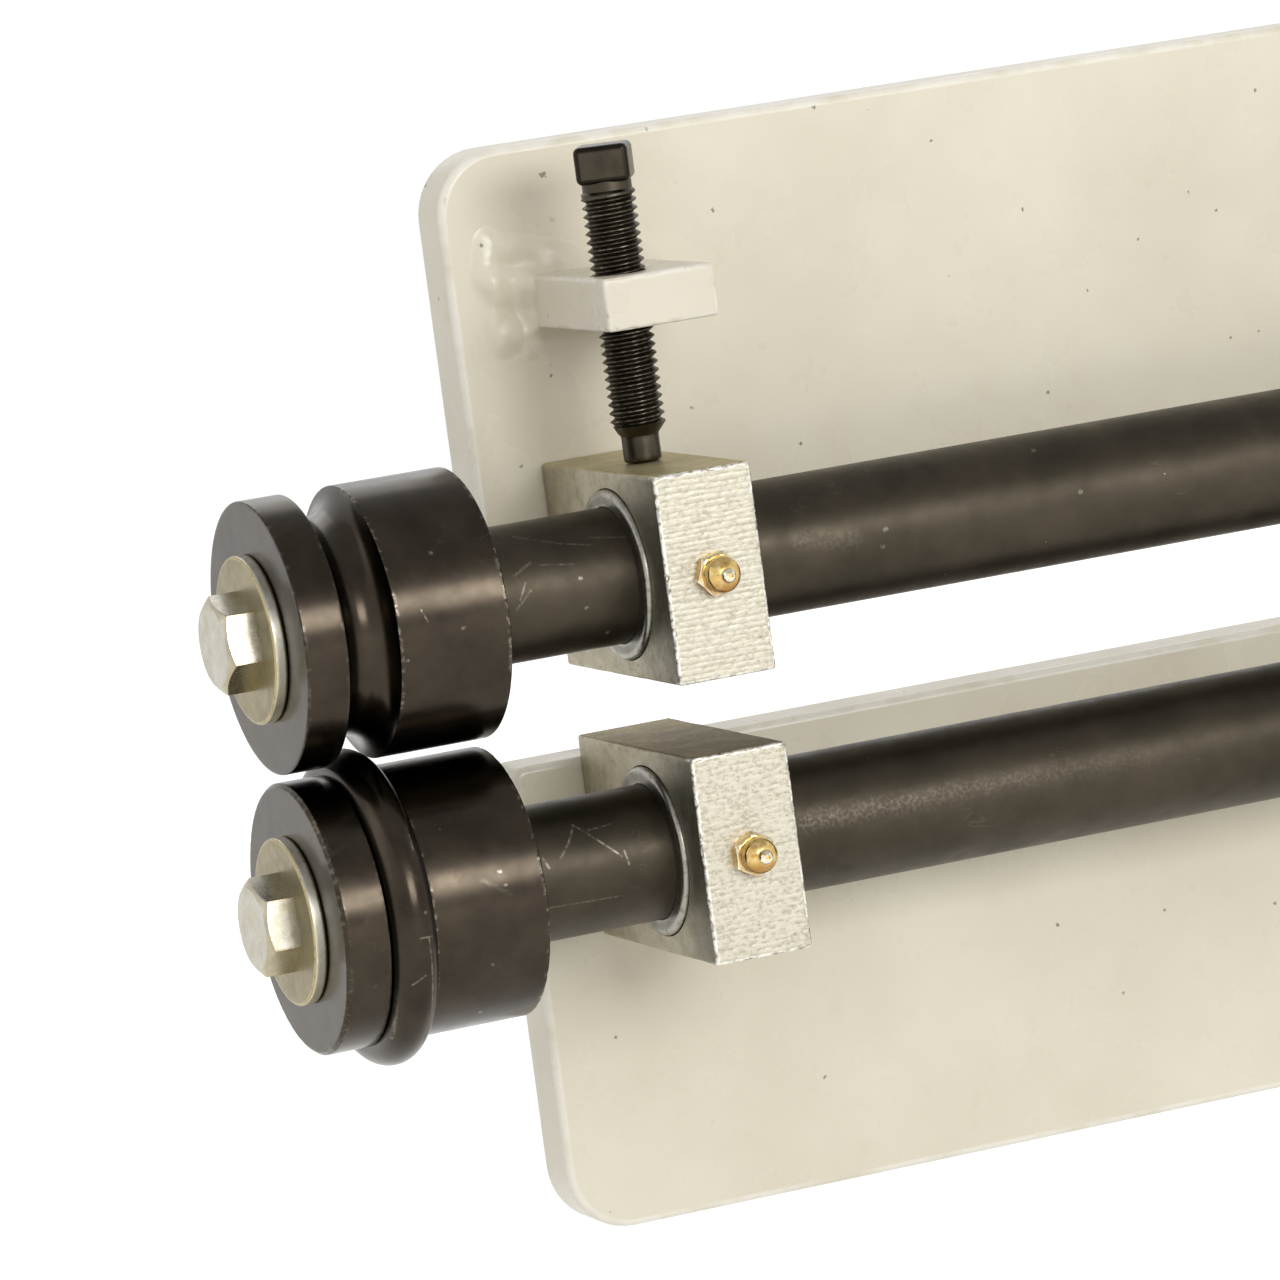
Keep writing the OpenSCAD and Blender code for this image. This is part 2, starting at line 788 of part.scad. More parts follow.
// A shaft's profile, as radius against length, from its die seat to its end. A tail
// thinner than the shaft starts with a step at full_end
function shaft_profile(seat_x, full_end, end, tail_r) = concat(
    [
        [0, 0],
        [seat_r - shaft_chamfer / 2, 0],
        [seat_r, shaft_chamfer / 2],
        [seat_r, shoulder_x - seat_x],
        [shaft_r - shaft_chamfer, shoulder_x - seat_x],
        [shaft_r, shoulder_x - seat_x + shaft_chamfer]
    ],
    tail_r < shaft_r ? [[shaft_r, full_end - seat_x], [tail_r, full_end - seat_x]] : [],
    [
        [tail_r, end - seat_x - shaft_chamfer],
        [tail_r - shaft_chamfer, end - seat_x],
        [0, end - seat_x]
    ]
);

// A shaft with its key slots and the tapped hole for the die's bolt
module shaft_body(z, full_end, end, tail_r) {
    seat_x = die_face + seat_gap;
    difference() {
        turned_x(seat_x, axis_y, z)
            polygon(shaft_profile(seat_x, full_end, end, tail_r));
        rod_x(seat_x - over, die_face - die_washer_t + die_bolt_l, bolt_r, axis_y, z, small_fn);
        key_box(shoulder_x - die_key_l, die_key_l, die_key, seat_r, die_key_depth, z);
        key_box(gear_x, gear_key_l, gear_key, shaft_r, gear_key_depth, z);
    }
}

module upper_shaft() {
    color("darkslategray")
        shaft_body(upper_z, gear_end, upper_end, tail_d / 2);
}

module lower_shaft() {
    color("darkslategray")
        shaft_body(lower_z, lower_end, lower_end, shaft_r);
}

module die_key_bar(z) {
    color("gray")
        key_box(shoulder_x - die_key_l, die_key_l, die_key, seat_r, die_key_depth, z);
}

// The keyway that a die or gear slides over its key with
module keyway(x, l, key, shaft_radius, depth, z) {
    translate([x - over, axis_y - key / 2, z])
        cube([l + 2 * over, key, shaft_radius - depth + key]);
}

module upper_die() {
    color("dimgray")
        difference() {
            turned_x(die_face, axis_y, upper_z)
                difference() {
                    polygon([
                        [seat_r, 0],
                        [die_r - die_chamfer, 0],
                        [die_r, die_chamfer],
                        [die_r, die_l - die_chamfer],
                        [die_r - die_chamfer, die_l],
                        [seat_r, die_l]
                    ]);
                    translate([die_r, bead_x])
                        circle(r = groove_r, $fn = round_fn);
                }
            keyway(die_face, die_l, die_key, seat_r, die_key_depth, upper_z);
        }
}

module lower_die() {
    color("dimgray")
        difference() {
            turned_x(die_face, axis_y, lower_z)
                union() {
                    polygon([
                        [seat_r, 0],
                        [die_r - die_lead, 0],
                        [die_r, die_lead],
                        [die_r, die_l - die_chamfer],
                        [die_r - die_chamfer, die_l],
                        [seat_r, die_l]
                    ]);
                    translate([die_r, bead_x])
                        circle(r = ring_r, $fn = round_fn);
                }
            keyway(die_face, die_l, die_key, seat_r, die_key_depth, lower_z);
        }
}

module die_washer(z) {
    color("silver")
        translate([die_face - die_washer_t, axis_y, z])
            rotate([0, 90, 0])
                washer(die_washer_d, bolt_d, die_washer_t);
}

module die_bolt(z) {
    color("silver")
        translate([die_face - die_washer_t, axis_y, z])
            rotate([0, 90, 0])
                bolt(bolt_d, bolt_af, bolt_head, die_bolt_l);
}

// A collar beside the rear bush, with a hole for its set screw
module collar(z) {
    color("gray")
        difference() {
            turned_x(collar_x, axis_y, z)
                polygon([
                    [shaft_r, 0],
                    [collar_d / 2 - head_chamfer, 0],
                    [collar_d / 2, head_chamfer],
                    [collar_d / 2, collar_w - head_chamfer],
                    [collar_d / 2 - head_chamfer, collar_w],
                    [shaft_r, collar_w]
                ]);
            rod_y(axis_y - collar_d / 2 - over, axis_y, set_d / 2, collar_x + collar_w / 2, z, small_fn);
        }
}

// A set screw with a socket, its point on the shaft on the side away from the plate
module set_screw(x, z) {
    color("dimgray")
        difference() {
            rod_y(axis_y - shaft_r - set_l, axis_y - shaft_r + set_seat, set_d / 2, x, z, small_fn);
            rod_y(axis_y - shaft_r - set_l - over, axis_y - shaft_r - set_l / 2, set_d / 4, x, z, hex_fn);
            rod_x(x - set_d, x + set_d, shaft_r, axis_y, z);
        }
}

// Involute tooth: the angle between a tooth's middle and its flank at radius r
function involute(a) = tan(a) * 180 / PI - a;
function flank_angle(r) = (PI * gear_module / 2 - gear_play / 2) / 2 / gear_pitch_r * 180 / PI
    + involute(gear_angle) - involute(acos(gear_base_r / r));
function polar(r, a) = [r * cos(a), r * sin(a)];
// One tooth's outline about the angle a, from root to root
function tooth(a) = concat(
    [polar(gear_root_r, a - flank_angle(gear_base_r))],
    [for (i = [0 : flank_steps])
        let (r = gear_base_r + (gear_tip_r - gear_base_r) * i / flank_steps) polar(r, a - flank_angle(r))],
    [for (i = [flank_steps : -1 : 0])
        let (r = gear_base_r + (gear_tip_r - gear_base_r) * i / flank_steps) polar(r, a + flank_angle(r))],
    [polar(gear_root_r, a + flank_angle(gear_base_r))]
);

// A spur gear with a hub, its first tooth's middle at the angle turn
module gear(z, turn) {
    recess_r = gear_root_r - gear_module * rim_share;
    color("slategray")
        difference() {
            union() {
                translate([gear_x, axis_y, z])
                    rotate([0, 90, 0])
                        rotate([0, 0, turn])
                            linear_extrude(gear_w)
                                polygon([for (i = [0 : gear_teeth - 1]) each tooth(360 * i / gear_teeth)]);
                turned_x(gear_hub_x - gear_recess, axis_y, z)
                    polygon([
                        [0, 0],
                        [gear_hub_d / 2, 0],
                        [gear_hub_d / 2, gear_hub_l + gear_recess - head_chamfer],
                        [gear_hub_d / 2 - head_chamfer, gear_hub_l + gear_recess],
                        [0, gear_hub_l + gear_recess]
                    ]);
            }
            // a shallow turned recess between the hub and the teeth
            turned_x(gear_hub_x - gear_recess, axis_y, z)
                polygon([
                    [gear_hub_d / 2, 0],
                    [recess_r, 0],
                    [recess_r, gear_recess + over],
                    [gear_hub_d / 2, gear_recess + over]
                ]);
            rod_x(gear_x - over, gear_end + over, shaft_r, axis_y, z);
            keyway(gear_x, gear_w + gear_hub_l, gear_key, shaft_r, gear_key_depth, z);
            rod_y(axis_y - gear_hub_d / 2 - over, axis_y, set_d / 2,
                  gear_hub_x + gear_hub_l / 2, z, small_fn);
        }
}

module gear_key_bar(z) {
    color("gray")
        key_box(gear_x, gear_key_l, gear_key, shaft_r, gear_key_depth, z);
}

// Crank

// The arm's outline from the shaft's axis down to the grip's: two circles and their tangents
module arm_outline() {
    r1 = arm_root_w / 2;
    r2 = arm_end_w / 2;
    a = asin((r1 - r2) / crank_r);
    union() {
        circle(r = r1, $fn = round_fn);
        translate([0, -crank_r])
            circle(r = r2, $fn = small_fn);
        polygon([
            [-r1 * cos(a), -r1 * sin(a)],
            [-r2 * cos(a), -crank_r - r2 * sin(a)],
            [r2 * cos(a), -crank_r - r2 * sin(a)],
            [r1 * cos(a), -r1 * sin(a)]
        ]);
    }
}

module crank_arm() {
    color("dimgray")
        difference() {
            union() {
                translate([arm_x, axis_y, lower_z])
                    rotate([90, 0, 90])
                        linear_extrude(arm_t)
                            arm_outline();
                turned_x(hub_x, axis_y, lower_z)
                    polygon([
                        [0, 0],
                        [hub_d / 2 - head_chamfer, 0],
                        [hub_d / 2, head_chamfer],
                        [hub_d / 2, hub_l - head_chamfer],
                        [hub_d / 2 - head_chamfer, hub_l],
                        [0, hub_l]
                    ]);
            }
            rod_x(hub_x - over, hub_x + hub_l + over, shaft_r, axis_y, lower_z);
            rod_x(arm_x - over, arm_x + arm_t + over, spindle_d / 2, axis_y, lower_z - crank_r, small_fn);
            rod_y(axis_y - hub_d / 2 - over, axis_y, set_d / 2, hub_x + (hub_l - arm_t) / 2, lower_z, small_fn);
        }
}

// A hexagon set bolt that holds the hub on the shaft
module crank_bolt() {
    shank = hub_d / 2 - shaft_r;
    color("silver")
        difference() {
            translate([hub_x + (hub_l - arm_t) / 2, axis_y - hub_d / 2 - set_seat, lower_z])
                rotate([-90, 0, 0])
                    union() {
                        rotate([180, 0, 0])
                            hex_head(crank_bolt_af, crank_bolt_head);
                        cylinder(h = shank + 2 * set_seat, r = set_d / 2, $fn = small_fn);
                    }
            rod_x(hub_x, arm_x, shaft_r, axis_y, lower_z);
        }
}

// The grip's pin: a head in the grip's end, a plain spindle and a thread through the arm
module grip_spindle() {
    start = arm_x - nut_h - stud_out;
    head_x = grip_x + grip_l - spindle_recess + grip_play;
    color("silver")
        turned_x(start, axis_y, lower_z - crank_r)
            polygon([
                [0, 0],
                [spindle_d / 2 - head_chamfer, 0],
                [spindle_d / 2, head_chamfer],
                [spindle_d / 2, head_x - start],
                [spindle_head_d / 2, head_x - start],
                [spindle_head_d / 2, head_x - start + spindle_head_h - head_chamfer],
                [spindle_head_d / 2 - head_chamfer, head_x - start + spindle_head_h],
                [0, head_x - start + spindle_head_h]
            ]);
}

module spindle_nut() {
    color("silver")
        translate([arm_x - nut_h, axis_y, lower_z - crank_r])
            rotate([0, 90, 0])
                difference() {
                    hex_head(bolt_af, nut_h, true);
                    translate([0, 0, -over])
                        cylinder(h = nut_h + 2 * over, r = spindle_d / 2, $fn = small_fn);
                }
}

// A barrel grip, swollen in the middle by one arc, with a recess for the spindle's head
module crank_grip() {
    end_r = grip_end_d / 2;
    swell = (grip_d - grip_end_d) / 2;
    half = grip_l / 2;
    arc_r = (half * half + swell * swell) / 2 / swell;
    bore_r = spindle_d / 2 + grip_clear;
    recess_r = spindle_head_d / 2 + grip_play;
    color("black")
        turned_x(grip_x, axis_y, lower_z - crank_r)
            difference() {
                intersection() {
                    translate([grip_d / 2 - arc_r, half])
                        circle(r = arc_r, $fn = 4 * round_fn);
                    union() {
                        translate([bore_r, grip_round])
                            square([grip_d, grip_l - 2 * grip_round]);
                        translate([bore_r, 0])
                            square([end_r - grip_round - bore_r, grip_l]);
                        for (y = [grip_round, grip_l - grip_round])
                            translate([end_r - grip_round, y])
                                circle(r = grip_round, $fn = small_fn);
                    }
                }
                translate([0, grip_l - spindle_recess])
                    square([recess_r, spindle_recess + over]);
                translate([0, -over])
                    square([bore_r, grip_l + 2 * over]);
            }
}

frame_plate();
mounting_foot();
foot_gussets();
adjuster_lug();
frame_welds();
adjusting_screw();
lower_block(front_block_x);  // lower_front_block
bush(front_block_x, lower_z);  // lower_front_bush
grease_nipple(front_block_x, lower_z, lower_nipple_turn);  // lower_front_grease_nipple
lower_block(rear_block_x);  // lower_rear_block
bush(rear_block_x, lower_z);  // lower_rear_bush
grease_nipple(rear_block_x, lower_z, lower_nipple_turn);  // lower_rear_grease_nipple
lower_block_bolts();
lower_block_washers();
upper_block(front_block_x, guide_d);  // upper_front_block
bush(front_block_x, upper_z);  // upper_front_bush
grease_nipple(front_block_x, upper_z, upper_nipple_turn);  // upper_front_grease_nipple
upper_block(rear_block_x, bolt_d);  // upper_rear_block
bush(rear_block_x, upper_z);  // upper_rear_bush
grease_nipple(rear_block_x, upper_z, upper_nipple_turn);  // upper_rear_grease_nipple
guide_stud();
guide_washer();
guide_nut();
pivot_bolt();
pivot_washer();
upper_shaft();
upper_die();
die_key_bar(upper_z);  // upper_die_key
die_washer(upper_z);  // upper_die_washer
die_bolt(upper_z);  // upper_die_bolt
collar(upper_z);  // upper_collar
set_screw(collar_x + collar_w / 2, upper_z);  // upper_collar_screw
gear(upper_z, 0);  // upper_gear
gear_key_bar(upper_z);  // upper_gear_key
set_screw(gear_hub_x + gear_hub_l / 2, upper_z);  // upper_gear_screw
lower_shaft();
lower_die();
die_key_bar(lower_z);  // lower_die_key
die_washer(lower_z);  // lower_die_washer
die_bolt(lower_z);  // lower_die_bolt
collar(lower_z);  // lower_collar
set_screw(collar_x + collar_w / 2, lower_z);  // lower_collar_screw
gear(lower_z, 180 + 180 / gear_teeth);  // lower_gear
gear_key_bar(lower_z);  // lower_gear_key
set_screw(gear_hub_x + gear_hub_l / 2, lower_z);  // lower_gear_screw
crank_arm();
crank_bolt();
grip_spindle();
spindle_nut();
crank_grip();
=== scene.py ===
import math

import bmesh
import bpy
from mathutils import Matrix, Vector, noise


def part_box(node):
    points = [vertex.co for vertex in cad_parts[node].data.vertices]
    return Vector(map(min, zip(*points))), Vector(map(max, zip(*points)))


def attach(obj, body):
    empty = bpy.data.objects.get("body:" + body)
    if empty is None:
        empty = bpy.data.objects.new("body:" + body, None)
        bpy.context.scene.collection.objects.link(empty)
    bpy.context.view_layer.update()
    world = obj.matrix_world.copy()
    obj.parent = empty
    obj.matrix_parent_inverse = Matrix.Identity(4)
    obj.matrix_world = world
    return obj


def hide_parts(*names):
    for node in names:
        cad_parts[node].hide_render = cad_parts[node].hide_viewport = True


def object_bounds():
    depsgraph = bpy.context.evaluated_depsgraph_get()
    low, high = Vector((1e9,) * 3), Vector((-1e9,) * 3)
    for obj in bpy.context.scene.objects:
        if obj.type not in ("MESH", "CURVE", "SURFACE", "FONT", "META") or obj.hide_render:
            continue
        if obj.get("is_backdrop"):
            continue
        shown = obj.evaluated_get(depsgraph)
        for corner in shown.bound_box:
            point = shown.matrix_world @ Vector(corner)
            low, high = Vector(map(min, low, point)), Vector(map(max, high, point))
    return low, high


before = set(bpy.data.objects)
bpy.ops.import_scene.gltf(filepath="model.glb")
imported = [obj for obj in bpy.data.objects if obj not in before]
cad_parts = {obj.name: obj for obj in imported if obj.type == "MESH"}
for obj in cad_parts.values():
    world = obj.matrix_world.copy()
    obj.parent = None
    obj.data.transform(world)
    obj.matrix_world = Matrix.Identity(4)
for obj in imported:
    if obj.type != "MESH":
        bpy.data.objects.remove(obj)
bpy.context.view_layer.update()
print("frame loaded:", len(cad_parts), "nodes")

mm = 0.001

# General helpers


def linearColour(code):
    # an sRGB hex code as a linear colour
    parts = [int(code[i:i + 2], 16) / 255 for i in (1, 3, 5)]
    return tuple([p / 12.92 if p <= 0.04045 else ((p + 0.055) / 1.055) ** 2.4 for p in parts] + [1.0])


def addNode(tree, kind, *values, out=0, **settings):
    # adds a node: plain values and capitalised names fill or link its sockets, a list links
    # several, a hex code is a colour, and other names are the node's own settings
    # gives one of the node's outputs
    shape = tree.type == "GEOMETRY" and hasattr(bpy.types, "GeometryNode" + kind)
    node = tree.nodes.new(("GeometryNode" if shape else "ShaderNode") + kind)
    for name, value in settings.items():
        if name[0].islower():
            setattr(node, name, value)
    sockets = [s for s in node.inputs if s.enabled]
    filled = list(zip(sockets, values))
    for socket in sockets:
        name = socket.name.replace(" ", "_")
        if name in settings:
            filled.append((socket, settings[name]))
    for socket, value in filled:
        for item in value if isinstance(value, list) else [value]:
            if isinstance(item, bpy.types.NodeSocket):
                tree.links.new(item, socket)
            elif isinstance(item, str) and item.startswith("#"):
                socket.default_value = linearColour(item)
            else:
                socket.default_value = item
    return [s for s in node.outputs if s.enabled][out] if isinstance(out, int) else node.outputs[out]


def placed(name, data):
    # an object in the scene for a mesh, a lamp or a camera
    piece = bpy.data.objects.new(name, data)
    bpy.context.scene.collection.objects.link(piece)
    return piece


def size(node):
    low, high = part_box(node)
    return high - low


def middle(node):
    low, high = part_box(node)
    return (low + high) / 2


def alongX(node):
    # a node's box, and a place on its own line along X
    centre = middle(node)
    return (*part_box(node), Vector((0, centre.y, centre.z)))


# Shape helpers


def softened(corners, radius, steps=4, closed=True, guard=0.7 * mm):
    # rounds a flat path's corners; a corner is (a, b) or (a, b, its own radius)
    # gives (a, b, wear) points, where wear is 1 on a rounding and 0 from guard away
    made = []
    last = len(corners) - 1
    for i, corner in enumerate(corners):
        own = corner[2] if len(corner) > 2 else radius
        here = Vector(corner[:2])
        back = Vector(corners[i - 1][:2]) - here
        ahead = Vector(corners[(i + 1) % len(corners)][:2]) - here
        if own <= 0 or (not closed and i in (0, last)) or back.angle(ahead) > math.radians(179):
            made.append((here.x, here.y, 0.0))
            continue
        half = back.angle(ahead) / 2
        reach = min(own / math.tan(half), 0.499 * back.length, 0.499 * ahead.length)
        own = reach * math.tan(half)
        centre = here + (back.normalized() + ahead.normalized()).normalized() * own / math.sin(half)
        first = here + back.normalized() * reach - centre
        turn = first.angle_signed(here + ahead.normalized() * reach - centre)
        for k in range(steps + 1):
            spot = first.copy()
            spot.rotate(Matrix.Rotation(-turn * k / steps, 2))
            made.append((centre.x + spot.x, centre.y + spot.y, 1.0))
    spaced = []
    for i, here in enumerate(made):
        spaced.append(here)
        ahead = made[(i + 1) % len(made)]
        gap = math.dist(here[:2], ahead[:2])
        if gap > 3 * guard and (closed or i < len(made) - 1):
            for worn, share in ((here[2], guard / gap), (ahead[2], 1 - guard / gap)):
                if worn:
                    spaced.append((*[here[n] + (ahead[n] - here[n]) * share for n in (0, 1)], 0.0))
    return spaced


def arc(centreA, centreB, radius, start, end, steps):
    # points on an arc, angles in degrees; the last value says that none of them is rounded again
    angles = [math.radians(start + (end - start) * k / steps) for k in range(steps + 1)]
    return [(centreA + radius * math.cos(a), centreB + radius * math.sin(a), 0) for a in angles]


def fromBmesh(name, bm):
    mesh = bpy.data.meshes.new(name)
    bm.to_mesh(mesh)
    bm.free()
    return placed(name, mesh)


def skin(name, rings, wrap=False, wear=None):
    # a closed surface through rings of points; a ring of one point is a pole
    # wear has one value for each ring, or a list of one value for each point
    bm = bmesh.new()
    layer = bm.verts.layers.float.new("wear")
    rows = []
    for i, ring in enumerate(rings):
        marks = wear[i] if wear else 0.0
        rows.append([bm.verts.new(point) for point in ring])
        for n, vert in enumerate(rows[-1]):
            vert[layer] = marks[n] if isinstance(marks, list) else marks
    for a, b in list(zip(rows, rows[1:])) + ([(rows[-1], rows[0])] if wrap else []):
        count = max(len(a), len(b))
        for i in range(count):
            j = (i + 1) % count
            corners = (a[i % len(a)], a[j % len(a)], b[j % len(b)], b[i % len(b)])
            bm.faces.new(list(dict.fromkeys(corners)))
    if not wrap:
        for row in (rows[0], rows[-1]):
            if len(row) > 2:
                bm.faces.new(row)
    bmesh.ops.recalc_face_normals(bm, faces=bm.faces)
    return fromBmesh(name, bm)


# Turns local (along, out, side) into the frame, for pieces along X, Y or Z
axisTurns = {
    "x": Matrix(((1, 0, 0), (0, 0, 1), (0, 1, 0))),
    "y": Matrix(((0, 0, 1), (1, 0, 0), (0, 1, 0))),
    "z": Matrix(((0, 0, 1), (0, 1, 0), (1, 0, 0))),
}


def turned(name, profile, origin, axis="x", segments=96, wrap=False):
    # revolves (along, radius, wear) points about an axis through origin
    turn = axisTurns[axis]
    angles = [2 * math.pi * k / segments for k in range(segments)]
    rings = []
    for point in profile:
        around = angles if point[1] > 1e-7 else [0.0]
        rings.append([origin + turn @ Vector((point[0], point[1] * math.cos(a), point[1] * math.sin(a)))
                      for a in around])
    return skin(name, rings, wrap, [point[2] if len(point) > 2 else 0.0 for point in profile])


def ringPath(start, end, inner, outer, boreEdge):
    # the section of a ring for turned, with its own rounding at the bore
    return [(start, inner, boreEdge), (start, outer), (end, outer), (end, inner, boreEdge)]


def rod(name, radius, start, end, origin, axis, segments=64):
    # a plain rod, used to cut holes and as a bolt's shank
    return turned(name, [(start, 0), (start, radius), (end, radius), (end, 0)], origin, axis, segments)


def flatsHead(name, look, origin, axis, facing=1, bore=0.0, bothEnds=False):
    # a head or nut with flats: its crown is cut by a cone, which leaves the curved chamfer lines
    reach = look["across"] / 2 / math.cos(math.pi / look["sides"])
    angles = [math.radians(look["turn"]) + 2 * math.pi * k / look["sides"] for k in range(look["sides"])]
    corners = [(reach * math.cos(a), reach * math.sin(a)) for a in angles]
    sparse = softened(corners, look["corner"], 4, guard=0.5 * mm)
    outline = []
    for a, b in zip(sparse, sparse[1:] + sparse[:1]):
        cuts = look["cuts"] if math.dist(a[:2], b[:2]) > 2 * mm else 1
        outline += [[a[n] + (b[n] - a[n]) * k / cuts for n in (0, 1, 2)] for k in range(cuts)]
    inner = look["across"] / 2 * look["crownShare"]
    slope = math.tan(math.radians(look["crownAngle"]))
    height, soft, turn = look["height"], look["soften"], axisTurns[axis]
    wear = [point[2] for point in outline]

    def ring(along, radius=None, shrink=0.0):
        made = []
        for a, b in [point[:2] for point in outline]:
            out = math.hypot(a, b)
            share = (radius or out - shrink) / out
            made.append(origin + turn @ Vector((facing * along(out), a * share, b * share)))
        return made

    low = (lambda out: max(0.0, (out - inner) * slope)) if bothEnds else (lambda out: 0.0)
    high = (lambda out: height - max(0.0, (out - inner) * slope))
    rings = [ring(low), ring(lambda out: high(out) - soft), ring(high, shrink=0.6 * soft),
             ring(lambda out: height, inner)]
    marks = [wear, wear, 1.0, 0.0]
    if bore:
        rings += [ring(lambda out: height, bore), ring(lambda out: 0.0, bore), ring(lambda out: 0.0, inner)]
        return skin(name, rings, True, marks + [0.0, 0.0, 0.0])
    tip = origin + turn @ Vector((facing * height, 0, 0))
    rings = [[origin], ring(lambda out: 0.0, inner)] + rings + [[tip]]
    return skin(name, rings, False, [0.0, 0.0] + marks + [0.0])


def roundedBox(name, low, high, radius, step, rows=3):
    # a box with rounded edges on an even grid, so that its faces can be roughened
    axes = []
    for i in range(3):
        tans = [radius * (1 - math.tan(math.pi / 4 * k / rows)) for k in range(rows, -1, -1)]
        span = high[i] - low[i] - 2 * radius
        count = max(1, round(span / step[i]))
        middles = [radius + span * k / count for k in range(1, count)]
        axes.append([low[i] + t for t in tans + middles] + [high[i] - t for t in reversed(tans)])
    bm = bmesh.new()
    layer = bm.verts.layers.float.new("wear")
    found = {}

    def vertAt(index):
        if index not in found:
            point = Vector([axes[n][index[n]] for n in range(3)])
            core = Vector([min(max(point[n], low[n] + radius), high[n] - radius) for n in range(3)])
            off = point - core
            found[index] = bm.verts.new(core + off.normalized() * radius)
            found[index][layer] = 1.0 if sum(abs(value) > 1e-9 for value in off) > 1 else 0.0
        return found[index]

    counts = [len(a) - 1 for a in axes]
    for axis in range(3):
        u, v = [n for n in range(3) if n != axis]
        for end in (0, counts[axis]):
            for a in range(counts[u]):
                for b in range(counts[v]):
                    corners = []
                    for da, db in ((0, 0), (1, 0), (1, 1), (0, 1)):
                        index = [end] * 3
                        index[u], index[v] = a + da, b + db
                        corners.append(vertAt(tuple(index)))
                    bm.faces.new(corners)
    bmesh.ops.recalc_face_normals(bm, faces=bm.faces)
    return fromBmesh(name, bm)


def slab(name, outline, axis, start, end, edge, steps=6):
    # an outline of (a, b, ...) points pushed along an axis, with the rims of both ends rounded
    bm = bmesh.new()
    layer = bm.verts.layers.float.new("wear")
    turn = axisTurns[axis]
    face = bm.faces.new([bm.verts.new(turn @ Vector((start, p[0], p[1]))) for p in outline])
    pushed = bmesh.ops.extrude_face_region(bm, geom=[face])["geom"]
    moved = [v for v in pushed if isinstance(v, bmesh.types.BMVert)]
    bmesh.ops.translate(bm, verts=moved, vec=turn @ Vector((end - start, 0, 0)))
    along = turn @ Vector((1, 0, 0))
    if edge > 0:
        rims = [e for e in bm.edges if abs((e.verts[0].co - e.verts[1].co).dot(along)) < 1e-9]
        bmesh.ops.bevel(bm, geom=rims, offset=edge, segments=steps, profile=0.5, affect="EDGES",
                        clamp_overlap=False)
        for vert in bm.verts:
            depth = min(abs(vert.co.dot(along) - start), abs(vert.co.dot(along) - end))
            vert[layer] = 1.0 if 0.02 * edge < depth < 0.9 * edge else 0.0
    bmesh.ops.recalc_face_normals(bm, faces=bm.faces)
    return fromBmesh(name, bm)


def settle(piece):
    # turns a piece's live modifiers into a plain mesh
    graph = bpy.context.evaluated_depsgraph_get()
    mesh = bpy.data.meshes.new_from_object(piece.evaluated_get(graph), preserve_all_data_layers=True,
                                           depsgraph=graph)
    piece.modifiers.clear()
    piece.data = mesh
    return piece


def cutBy(piece, *cutters, way="DIFFERENCE"):
    # takes the cutters out of a piece, or adds them to it
    for cutter in cutters:
        modifier = piece.modifiers.new("cut", "BOOLEAN")
        modifier.object = cutter
        modifier.operation = way
        modifier.solver = "EXACT"
    settle(piece)
    for cutter in cutters:
        bpy.data.objects.remove(cutter)
    return piece


def join(name, pieces):
    # several meshes as one piece
    bm = bmesh.new()
    bm.verts.layers.float.new("wear")
    for piece in pieces:
        bm.from_mesh(piece.data)
        bpy.data.objects.remove(piece)
    return fromBmesh(name, bm)


def cadCopy(name, node):
    # a merged copy of a CAD node, for a piece whose shape is right as it is
    bm = bmesh.new()
    bm.verts.layers.float.new("wear")
    bm.from_mesh(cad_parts[node].data)
    bmesh.ops.remove_doubles(bm, verts=bm.verts, dist=1e-6)
    bmesh.ops.dissolve_limit(bm, angle_limit=math.radians(0.5), verts=bm.verts, edges=bm.edges)
    return fromBmesh(name, bm)


def bevelled(piece, width, angle=30, segments=3):
    modifier = piece.modifiers.new("edges", "BEVEL")
    modifier.width = width
    modifier.segments = segments
    modifier.limit_method = "ANGLE"
    modifier.angle_limit = math.radians(angle)
    modifier.miter_outer = "MITER_ARC"
    return settle(piece)


def pathPiece(name, points):
    # a line of edges for a shape tree to follow
    mesh = bpy.data.meshes.new(name)
    count = len(points)
    mesh.from_pydata(points, [(i, i + 1) for i in range(count - 1)], [])
    return placed(name, mesh)


def finishPiece(piece, finish, body, *nodes, sharp=35):
    # smooth shading with sharp edges kept, the finish, and the place in the frame
    for polygon in piece.data.polygons:
        polygon.use_smooth = True
    piece.data.set_sharp_from_angle(angle=math.radians(sharp))
    modifier = piece.modifiers.new("even shading", "WEIGHTED_NORMAL")
    modifier.mode = "FACE_AREA"
    modifier.keep_sharp = True
    settle(piece)
    piece.data.materials.clear()
    piece.data.materials.append(finishes[finish])
    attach(piece, body)
    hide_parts(*nodes)
    return piece


# Node trees for shapes


def shapeTree(name, **sockets):
    # an empty shape tree with named inputs; gives the tree and its inputs
    tree = bpy.data.node_groups.new(name, "GeometryNodeTree")
    tree.interface.new_socket(name="Geometry", in_out="INPUT", socket_type="NodeSocketGeometry")
    for socket, kind in sockets.items():
        tree.interface.new_socket(name=socket, in_out="INPUT", socket_type="NodeSocket" + kind)
    tree.interface.new_socket(name="Finish", in_out="INPUT", socket_type="NodeSocketMaterial")
    tree.interface.new_socket(name="Geometry", in_out="OUTPUT", socket_type="NodeSocketGeometry")
    return tree, tree.nodes.new("NodeGroupInput").outputs


def endTree(tree, source, geometry):
    # every tree ends in plain geometry with its finish
    real = addNode(tree, "RealizeInstances", geometry)
    done = addNode(tree, "SetMaterial", real, Material=source["Finish"])
    tree.links.new(done, tree.nodes.new("NodeGroupOutput").inputs[0])
    return tree


